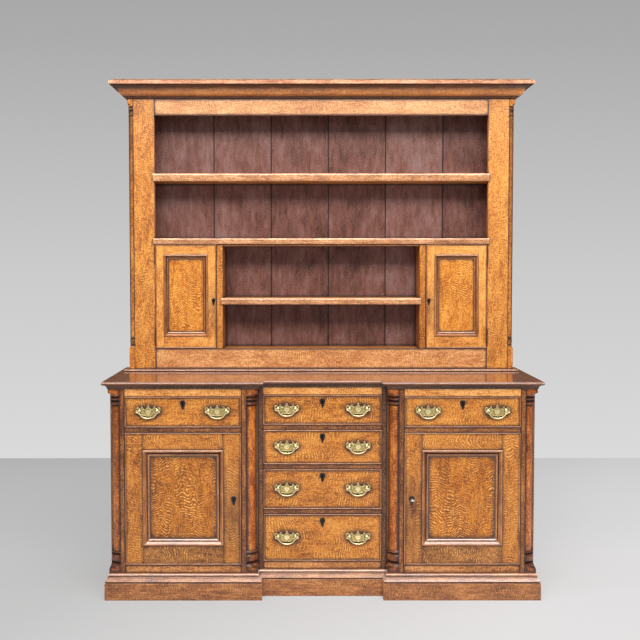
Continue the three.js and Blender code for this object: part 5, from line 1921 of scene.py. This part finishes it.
@dataclass(frozen=True)
class BailHandle:
    """A pierced back plate with two posts and a swan-neck bail that swings in them."""

    nodes: Nodes
    rise: float = 0.0235
    half: float = 0.052
    plate: float = 0.0025
    post_reach: float = 0.0085
    post_spacing: float = 0.072
    head: float = 0.0052
    neck: float = 0.0034
    shank: float = 0.0026
    rim_share: float = 0.93
    rim_wire: float = 0.0009
    boss: float = 0.0012
    nut: float = 0.006
    nut_thick: float = 0.004
    front: float = 0.022
    bail_width: float = 0.097
    bail_drop: float = 0.0305
    wire: float = 0.0019
    swell: float = 0.32

    # Half of the plate's outline, in shares of its half width and of its rise
    PLATE = (Stop(0, 1), Stop(0.06, 0.93, -0.35), Stop(0.06, 0.78, -0.4), Stop(0.04, 0.71),
             Stop(0.1, 0.58, 0.3), Stop(0.13, 0.5), Stop(0.3, 0.28, 0.4), Stop(0.47, 0.5, 0.4),
             Stop(0.53, 0.82), Stop(0.59, 0.5), Stop(0.7, 0.4, 0.35), Stop(0.8, 0.5, 0.3), Stop(0.88, 0.6),
             Stop(0.99, 0.36, -0.45), Stop(1, 0.14, -0.1), Stop(0.93, -0.12, -0.3), Stop(0.86, -0.3, 0.2),
             Stop(0.76, -0.4, -0.2), Stop(0.62, -0.62, 0.2), Stop(0.3, -0.92, -0.16), Stop(0, -0.98, -0.08))
    HOLES = ((0.8, 0.17, 0.0023), (0.3, -0.1, 0.0017))
    SHIELD = (Stop(0, -0.74), Stop(0.17, -0.45, 0.2), Stop(0.22, 0.08, 0.1), Stop(0, 0.2, 0.15))
    SCROLL = ((0.3, 0.2), (0.44, 0.28), (0.5, 0.08), (0.4, -0.2), (0.52, -0.42), (0.66, -0.36), (0.8, -0.12))
    BAIL = ((0.95, -0.05), (1, -0.12), (0.94, -0.21), (0.8, -0.28), (0.67, -0.46), (0.52, -0.74),
            (0.36, -0.9), (0.16, -0.98))
    # Radius and distance of the turned collar between plate and neck
    COLLAR = ((0.0058, 0.0034), (0.0044, 0.0042))

    def outline(self, shrink: float) -> list[Point]:
        """The plate's outline, drawn in by a share."""
        return mirrored(drawn(self.PLATE, self.half * shrink, self.rise * shrink))

    def plates(self, name: str, body: str, centre: Vector) -> None:
        """Builds the plate and its posts at a place.

        Args:
            name: Name of the CAD node.
            body: Body of the drawer.
            centre: Middle of the handle on the drawer's face.
        """
        def moved(points: Iterable[Point]) -> list[Point]:
            """Points round the handle's middle."""
            return [(centre.x + x, centre.z + z) for x, z in points]

        y = (centre.y - self.plate, centre.y)
        cutters = []
        for share_x, share_z, radius in self.HOLES:
            for side in (-1, 1):
                ring = [(side * share_x * self.half + radius * x, share_z * self.rise + radius * z)
                        for x, z in compass(12)]
                cutters.append(outline_prism("hole", moved(ring), grown(y, 0.002)))
        sheet = outline_prism(name, moved(self.outline(1.0)), y, 0.0005)
        sheet.piece(f"{name}_sheet", PLATE_BRASS, body, [name], cutters)
        rim = [Vector((x, y[0], z)) for x, z in moved(self.outline(self.rim_share))]
        self.nodes.wires(f"{name}_rim", rim, BRASS, body, self.rim_wire, 0.0, 160, True)
        relief = self.plate + self.boss
        shield = moved(mirrored(drawn(self.SHIELD, self.half, self.rise, steps=6)))
        made = outline_prism(name, shield, (centre.y - relief, y[0] + self.boss), 0.0007)
        made.piece(f"{name}_shield", BRASS, body)
        for side, label in ((-1, "left"), (1, "right")):
            scroll = [Vector((x, y[0], z)) for x, z in
                      moved((side * x * self.half, z * self.rise) for x, z in self.SCROLL)]
            self.nodes.wires(f"{name}_scroll_{label}", scroll, BRASS, body, self.rim_wire, 0.4, 32)
        made = Joinery(f"{name} posts")
        for side in (-1, 1):
            foot = Vector((centre.x + side * self.post_spacing / 2, centre.y, centre.z))
            pin = self.plate + self.post_reach
            dome = [(self.head * math.cos(turn), pin + self.head * math.sin(turn))
                    for turn in (math.pi * i / 16 for i in range(-6, 8))]
            collar = [(self.shank, 0.0), (self.shank, self.plate * 0.9), (0.0056, self.plate), *self.COLLAR,
                      (self.neck, 0.005)]
            made.turning(foot, FRONT, collar + dome, 20)
            back = Vector((foot.x, centre.y + self.front, foot.z))
            nut = [(self.nut * 0.92, 0.0), (self.nut, 0.0005), (self.nut, self.nut_thick - 0.0005),
                   (self.nut * 0.92, self.nut_thick)]
            made.turning(back, -FRONT, nut, 6)
            made.turning(back, -FRONT, [(self.shank, -0.004), (self.shank, self.nut_thick + 0.0005),
                                        (self.shank * 0.7, self.nut_thick + 0.001)], 12)
        made.piece(f"{name}_posts", BRASS, body)

    def bail(self, node: str, centre: Vector) -> None:
        """Builds the bail.

        Args:
            node: CAD node that it stands for, which is also its body.
            centre: Middle of the handle on the drawer's face.
        """
        pin = centre + FRONT * (self.plate + self.post_reach)
        inner = self.post_spacing / 2
        right = [(inner - self.head / 2, 0.0), (inner + self.head, 0.0)]
        right += [(x * self.bail_width / 2, z * self.bail_drop) for x, z in self.BAIL]
        flat = right + [(0.0, -self.bail_drop)] + [(-x, z) for x, z in right[::-1]]
        points = [Vector((pin.x + x, pin.y, pin.z + z)) for x, z in flat]
        self.nodes.wires(f"{node}_wire", points, BRASS, node, self.wire, self.swell, 72, replaces=[node])


@dataclass(frozen=True)
class Drawer:
    """A drawer: front with cockbead and keyhole, a plainly jointed box, and two bail handles."""

    node: str
    plan: Plan
    handle: BailHandle
    y_face: float
    front: float = 0.022
    side: float = 0.012
    side_arris: float = 0.0008
    inset: float = 0.0002
    groove: float = 0.004
    bottom: float = 0.008
    bottom_rise: float = 0.008
    side_drop: float = 0.012
    back_drop: float = 0.01
    back_clearance: float = 0.025
    key_drop: float = 0.026
    bead: float = 0.004
    bead_rise: float = 0.0024
    cell: float = 0.009

    # Grime round a handle: half axes, drop below its middle, strength and spread
    HAND = (0.068, 0.037)
    HAND_DROP = 0.004
    HAND_SOIL = 1.3
    HAND_SPREAD = 1.25
    # Grime round the keyhole: reach, length over width, strength; and along the bead: reach, strength
    HOLE = (0.03, 1.4, 0.5)
    EDGE = (0.035, 0.6)

    def soil(self, centres: Sequence[Vector], hole: Keyhole, x: Span, z: Span) -> Soil:
        """Where hands have darkened the front.

        Args:
            centres: Middles of the handles.
            hole: The keyhole.
            x: Limits of the front in X.
            z: Limits of the front in Z.

        Returns:
            The share of grime at a point.
        """
        def share(place: Vector) -> float:
            """Grime near the handles, the keyhole and the bead."""
            worst = 0.0
            for centre in centres:
                aside = (place.x - centre.x) / self.HAND[0]
                above = (place.z - centre.z + self.HAND_DROP) / self.HAND[1]
                worst = max(worst, self.HAND_SOIL * (self.HAND_SPREAD - math.hypot(aside, above)))
            reach, length, strength = self.HOLE
            near_hole = math.hypot(place.x - hole.x, (place.z - hole.z) / length) / reach
            edge = min(place.x - x[0], x[1] - place.x, place.z - z[0], z[1] - place.z)
            return min(1.0, max(worst, strength * (1 - near_hole), self.EDGE[1] - edge / self.EDGE[0]))

        return share

    def build(self) -> None:
        """Builds the drawer."""
        low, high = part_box(self.node)
        x, z = (low.x, high.x), (low.z - RUNNING_GAP + DRAWER_GAP, high.z)
        centres = []
        for end in Ends:
            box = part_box(f"{self.node}_plate_{end.name}")
            centres.append(Vector(((box[0].x + box[1].x) / 2, self.y_face, box[1].z - self.handle.rise)))
        hole = Keyhole((x[0] + x[1]) / 2, z[1] - self.key_drop, self.y_face)
        front = Joinery(f"{self.node} front")
        front.board(x, (self.y_face, self.y_face + self.front), z, Grain.X, CRISP_ARRIS)
        front.cells(self.cell)
        front.piece(f"{self.node}_front", FRONT_OAK, self.node, [self.node], [hole.cutter()],
                    self.soil(centres, hole, x, z))
        bead = Joinery(f"{self.node} bead")
        section = bead_outline(self.bead, self.bead_rise, self.bead)
        bead.moulding(section, rectangle(x, z, self.y_face), FRONT, True)
        bead.piece(f"{self.node}_bead", MOULDED_OAK, self.node)
        self.box(x, z, low.z)
        hole.inlay(f"{self.node}_inlay", self.node)
        for end, centre in zip(Ends, centres):
            self.handle.plates(f"{self.node}_plate_{end.name}", self.node, centre)
            self.handle.bail(f"{self.node}_bail_{end.name}", centre)

    def box(self, x: Span, z: Span, foot: float) -> None:
        """Builds the sides, back and bottom.

        Args:
            x: Limits of the front in X.
            z: Limits of the front in Z.
            foot: Z of the sides' lower edge.
        """
        y_rear = self.plan.y_panel - self.back_clearance
        y_side = (self.y_face + self.front / 2, y_rear)
        z_side = (foot, z[1] - self.side_drop)
        lining = Joinery(f"{self.node} box")
        for face, inward in ((x[0], 1), (x[1], -1)):
            lining.board(span(face + inward * self.inset, face + inward * self.side), y_side, z_side, Grain.Y,
                         self.side_arris)
        between = grown(x, -self.side)
        z_floor = foot - RUNNING_GAP + self.bottom_rise
        y_joint = (y_side[0] + y_rear) / 2
        for y in ((y_side[0], y_joint), (y_joint, y_rear)):
            z_bottom = (z_floor, z_floor + self.bottom)
            lining.board(grown(between, self.groove), y, z_bottom, Grain.X, CRISP_ARRIS)
        lining.board(between, (y_rear - self.side, y_rear), (z_floor, z_side[1] - self.back_drop), Grain.X)
        lining.piece(f"{self.node}_box", LINING_OAK, self.node)


@dataclass(frozen=True)
class Lock:
    """The sliding bolt of the right door, its pocket, and the key in its keyhole."""

    plan: Plan
    nodes: Nodes
    gap: float = 0.0003
    shank: float = 0.0025
    bow_wire: float = 0.0016
    bow_width: float = 0.02
    bow_length: float = 0.015
    bit_reach: float = 0.011
    bit_thick: float = 0.003
    throw: float = 0.008
    mouth: float = 0.004
    clearance: float = 0.001

    # Turned shank: shares of its radius and distances from the bow
    SHANK = ((0.7, 0.0), (1, 0.0008), (1, 0.002), (1.5, 0.0028), (1.5, 0.0042), (1, 0.005), (1, 0.0062),
             (1.3, 0.0068), (1.3, 0.0078), (1, 0.0086))

    def room(self, seed: str, x: Span, gap: float) -> Joinery:
        """Room for the bolt in a member.

        Args:
            seed: Text that fixes the random offsets of the grain.
            x: Its limits in X.
            gap: How far it is wider than the bolt.

        Returns:
            The room.
        """
        low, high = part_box("lock_bolt")
        made = Joinery(seed)
        made.board(x, grown((low.y, high.y), gap), grown((low.z, high.z), gap), Grain.X, 0.0)
        return made

    def channel(self) -> Joinery:
        """The room for the bolt and the key's bit inside the door's stile."""
        x = (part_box("base_door_right")[0].x - self.mouth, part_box("lock_bolt")[1].x + self.gap)
        return self.room("lock channel", x, self.gap)

    def chamber(self) -> Joinery:
        """The round room that the key's bit turns in."""
        low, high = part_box("lock_bolt")
        key, made = self.keyhole(), Joinery("lock chamber")
        y, radius = grown((low.y, high.y), self.gap * 1.5), self.bit_reach + self.clearance
        made.turning(Vector((key.x, y[0], key.z)), -FRONT, [(radius, 0.0), (radius, y[1] - y[0])], 24)
        return made

    def pocket(self) -> Joinery:
        """The pocket in the strip that the bolt slides into."""
        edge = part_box("base_door_right")[0].x
        return self.room("lock pocket", (edge - self.throw - DOOR_GAP - self.clearance, edge), 2 * self.gap)

    def keyhole(self) -> Keyhole:
        """The keyhole of the right door."""
        low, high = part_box("base_door_right")
        return Keyhole(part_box("key")[1].x - self.bit_reach, (low.z + high.z) / 2, self.plan.y_wing)

    def build(self) -> None:
        """Builds the key and finishes the bolt."""
        low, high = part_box("key")
        hole = self.keyhole()
        middle = Vector((hole.x, low.y + self.bow_length / 2, hole.z))
        wide, long = self.bow_width / 2 - self.bow_wire, self.bow_length / 2 - self.bow_wire
        ring = [middle + Vector((wide * x, long * y, 0)) for x, y in compass(20)]
        self.nodes.wires("key_bow", ring, STEEL, "key", self.bow_wire, 0.0, 64, True, ["key"])
        start = low.y + self.bow_length - 2 * self.bow_wire
        shank, length = Joinery("key shank"), high.y - start
        turned = (*self.SHANK, (1, length - 0.0006), (0.8, length))
        profile = [(self.shank * share, far) for share, far in turned]
        shank.turning(Vector((hole.x, start, hole.z)), -FRONT, profile)
        bolt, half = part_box("lock_bolt"), self.bit_thick / 2
        x, z = (hole.x, hole.x + self.bit_reach), (hole.z - half, hole.z + half)
        shank.board(x, (bolt[0].y, bolt[1].y), z, Grain.X, 0.0003)
        shank.piece("key_shank", STEEL, "key")
        node = frame["nodes"]["lock_bolt"]
        node.data.materials.clear()
        node.data.materials.append(STEEL.material())


@dataclass(frozen=True)
class Lamp:
    """A soft box: where it hangs and points, its width and height, its power, and whether it shows."""

    name: str
    place: tuple[float, float, float]
    target: tuple[float, float, float]
    size: Point
    power: float
    seen: bool = True

    def hang(self) -> None:
        """Hangs the soft box."""
        light = bpy.data.lights.new(self.name, "AREA")
        light.shape = "RECTANGLE"
        light.size, light.size_y = self.size
        light.energy = self.power
        lamp = placed(self.name, light)
        lamp.location = self.place
        lamp.rotation_euler = (Vector(self.target) - Vector(self.place)).to_track_quat("-Z", "Y").to_euler()
        lamp.visible_camera = lamp.visible_glossy = self.seen


LAMPS = (
    Lamp("key_light", (0.1, -3.0, 3.9), (0, 0, 1.3), (4.6, 1.2), 215),
    Lamp("top_light", (0, -0.9, 4.2), (0, -0.3, 0.9), (3.6, 0.8), 85),
    Lamp("side_light_left", (-3.6, 0.5, 1.6), (0, 0.1, 1.1), (1.4, 2.4), 24, False),
    Lamp("side_light_right", (3.6, 0.5, 1.6), (0, 0.1, 1.1), (1.4, 2.4), 24, False),
    Lamp("back_light", (0, 2.2, 2.4), (0, 0.3, 1.1), (3.0, 1.2), 26, False),
)


@dataclass(frozen=True)
class Studio:
    """Pale floor and backdrop with painted shadow and falloff, soft lamps, and the camera of the photograph.
    """

    # The floor's colour is a painted shadow: darker to the left, where the dresser's shadow falls, and
    # lighter towards the front.
    floor: tuple[tuple[float, Rgb], ...] = (
        (0.0, (188, 188, 188)), (0.38, (190, 190, 190)), (0.62, (216, 215, 215)), (1.0, (212, 211, 211)))
    # The backdrop's colour is painted light falloff: lighter low down and darker towards the top.
    wall: tuple[tuple[float, Rgb], ...] = (
        (0.0, (219, 218, 218)), (0.38, (204, 203, 203)), (0.83, (174, 173, 173)), (1.0, (164, 163, 163)))
    wall_lit: Rgb = (64, 60, 58)
    floor_glow: float = 0.7
    sky: tuple[float, float, float, float] = (0.96, 0.97, 1.0, 1.0)
    sky_strength: float = 0.3
    wall_height: float = 3.5
    floor_shade_slope: float = 0.12
    y_wall: float = 2.45
    reach: float = 9.0
    lens: float = 51.19
    sensor: float = 36.0
    pitch: float = 2.376
    roll: float = 0.0185
    camera: tuple[float, float, float] = (-0.075, -3.924, 1.394)
    shift: tuple[float, float] = (0.0245, -0.034)

    def sheet(self, name: str, corners: Sequence[Sequence[float]], material: bpy.types.Material) -> None:
        """Builds a flat sheet of the stage.

        Args:
            name: Its name.
            corners: Its four corners.
            material: Its material.
        """
        mesh = bpy.data.meshes.new(name)
        mesh.from_pydata([list(corner) for corner in corners], [], [(0, 1, 2, 3)])
        mesh.materials.append(material)
        placed(name, mesh)

    def seen(self, colour: object, lit: object, shader: Shader, strength: float) -> bpy.types.Material:
        """Gives a sheet its colour to the camera, keeps some of the shadows on it, and clears it from behind.

        Args:
            colour: Colour or colour socket that the camera sees.
            lit: Colour or colour socket that the lamps light.
            shader: The shader in the making.
            strength: Share of the colour that glows for rays from the camera.

        Returns:
            The material.
        """
        shader.surfaced({"Base Color": lit, "Roughness": 0.9, "Specular IOR Level": 0.1})
        share = Value(shader, shader.node("ShaderNodeLightPath").outputs["Is Camera Ray"]) * strength
        glow = shader.node("ShaderNodeEmission", inputs={"Color": colour, "Strength": 1.0})
        mixed = shader.node("ShaderNodeMixShader", inputs={0: share, 1: shader.surface.outputs[0],
                                                           2: glow.outputs[0]})
        behind = shader.node("ShaderNodeNewGeometry").outputs["Backfacing"]
        clear = shader.node("ShaderNodeBsdfTransparent")
        shown = shader.node("ShaderNodeMixShader",
                            inputs={0: behind, 1: mixed.outputs[0], 2: clear.outputs[0]})
        shader.feed(shader.tree.nodes["Material Output"].inputs["Surface"], shown.outputs[0])
        return shader.material

    def stage(self) -> None:
        """Builds the floor and the backdrop."""
        floor = Shader("studio_floor")
        place = floor.place(Source.OBJECT)
        across, depth, _ = floor.parts(place)
        # Painted shadow: the floor darkens to the left and towards the back.
        share = 0.5 + across * self.floor_shade_slope - depth * self.floor_shade_slope * 0.5
        colour = floor.node("ShaderNodeValToRGB", {"stops": self.floor}, {0: share}).outputs[0]
        r, y = self.reach, self.y_wall
        self.sheet("studio_floor", [(-r, -r, 0), (r, -r, 0), (r, y, 0), (-r, y, 0)],
                   self.seen(colour, colour, floor, self.floor_glow))
        wall = Shader("studio_wall")
        height = wall.node("ShaderNodeSeparateXYZ", inputs={0: wall.place(Source.OBJECT)}).outputs["Z"]
        # Painted light falloff: the backdrop darkens with height.
        share = Value(wall, height) * (1 / self.wall_height)
        colour = wall.node("ShaderNodeValToRGB", {"stops": self.wall}, {0: share}).outputs[0]
        self.sheet("studio_wall", [(-r, y, 0), (r, y, 0), (r, y, r), (-r, y, r)],
                   self.seen(colour, linear(self.wall_lit), wall, 1.0))

    def build(self) -> None:
        """Builds the stage, the lamps and the camera."""
        self.stage()
        for lamp in LAMPS:
            lamp.hang()
        world = bpy.data.worlds.new("studio")
        world.use_nodes = True
        sky = world.node_tree.nodes["Background"]
        sky.inputs["Color"].default_value = self.sky
        sky.inputs["Strength"].default_value = self.sky_strength
        scene = bpy.context.scene
        scene.world = world
        scene.view_settings.view_transform = "Standard"
        lens = bpy.data.cameras.new("camera")
        lens.lens = self.lens
        lens.sensor_width = self.sensor
        lens.shift_x, lens.shift_y = self.shift
        camera = placed("camera", lens)
        camera.location = self.camera
        camera.rotation_euler = (math.radians(90 - self.pitch), math.radians(self.roll), 0)
        scene.camera = camera


def build_doors(plan: Plan, lock: Lock) -> None:
    """Builds the two base doors and the two small doors of the rack.

    Args:
        plan: Places of the parts.
        lock: Lock of the right base door.
    """
    key = lock.keyhole()
    rack_key_inset, rack_key_drop = 0.014, 0.018
    for end in Ends:
        side = end.value
        cutters = [lock.channel(), lock.chamber()] if end is Ends.right else []
        node = f"base_door_{end.name}"
        hole = Keyhole(side * key.x, key.z, plan.y_wing)
        PanelDoor(node, BASE_DOOR, BASE_FINISHES, hole, side).build(cutters)
        Hinges(node, BASE_DOOR, plan.y_wing, side).build()
        node = f"rack_door_{end.name}"
        x = side * (plan.x_post_outer + rack_key_inset)
        z = (plan.z_rack_floor + plan.z_second) / 2 - rack_key_drop
        hole = Keyhole(x, z, plan.y_rack, width=0.014, height=0.034, slot=0.012)
        PanelDoor(node, RACK_DOOR, RACK_FINISHES, hole, side).build()
        Hinges(node, RACK_DOOR, plan.y_rack, side).build()


def build_drawers(plan: Plan, nodes: Nodes) -> None:
    """Builds the six drawers.

    Args:
        plan: Places of the parts.
        nodes: Geometry Nodes trees.
    """
    handle = BailHandle(nodes)
    for end in Ends:
        Drawer(f"wing_drawer_{end.name}", plan, handle, plan.y_wing).build()
    for number in range(1, 5):
        Drawer(f"centre_drawer_{number}", plan, handle, plan.y_centre).build()


def main() -> None:
    """Builds the dresser and its studio in order."""
    logging.basicConfig(level=logging.INFO, format="%(message)s")
    plan = Plan()
    nodes = Nodes()
    Studio().build()
    lock = Lock(plan, nodes)
    case = BaseCase(plan, nodes)
    Plinth(plan).build()
    BaseBoard(plan).build()
    case.build()
    frames = FaceFrames(plan)
    frames.wing(Ends.left, None)
    frames.wing(Ends.right, lock.pocket())
    frames.centre()
    Columns(plan).build()
    Rack(plan, case).build()
    Cornice(plan).build()
    build_doors(plan, lock)
    build_drawers(plan, nodes)
    lock.build()


if __name__ == "__main__":
    main()
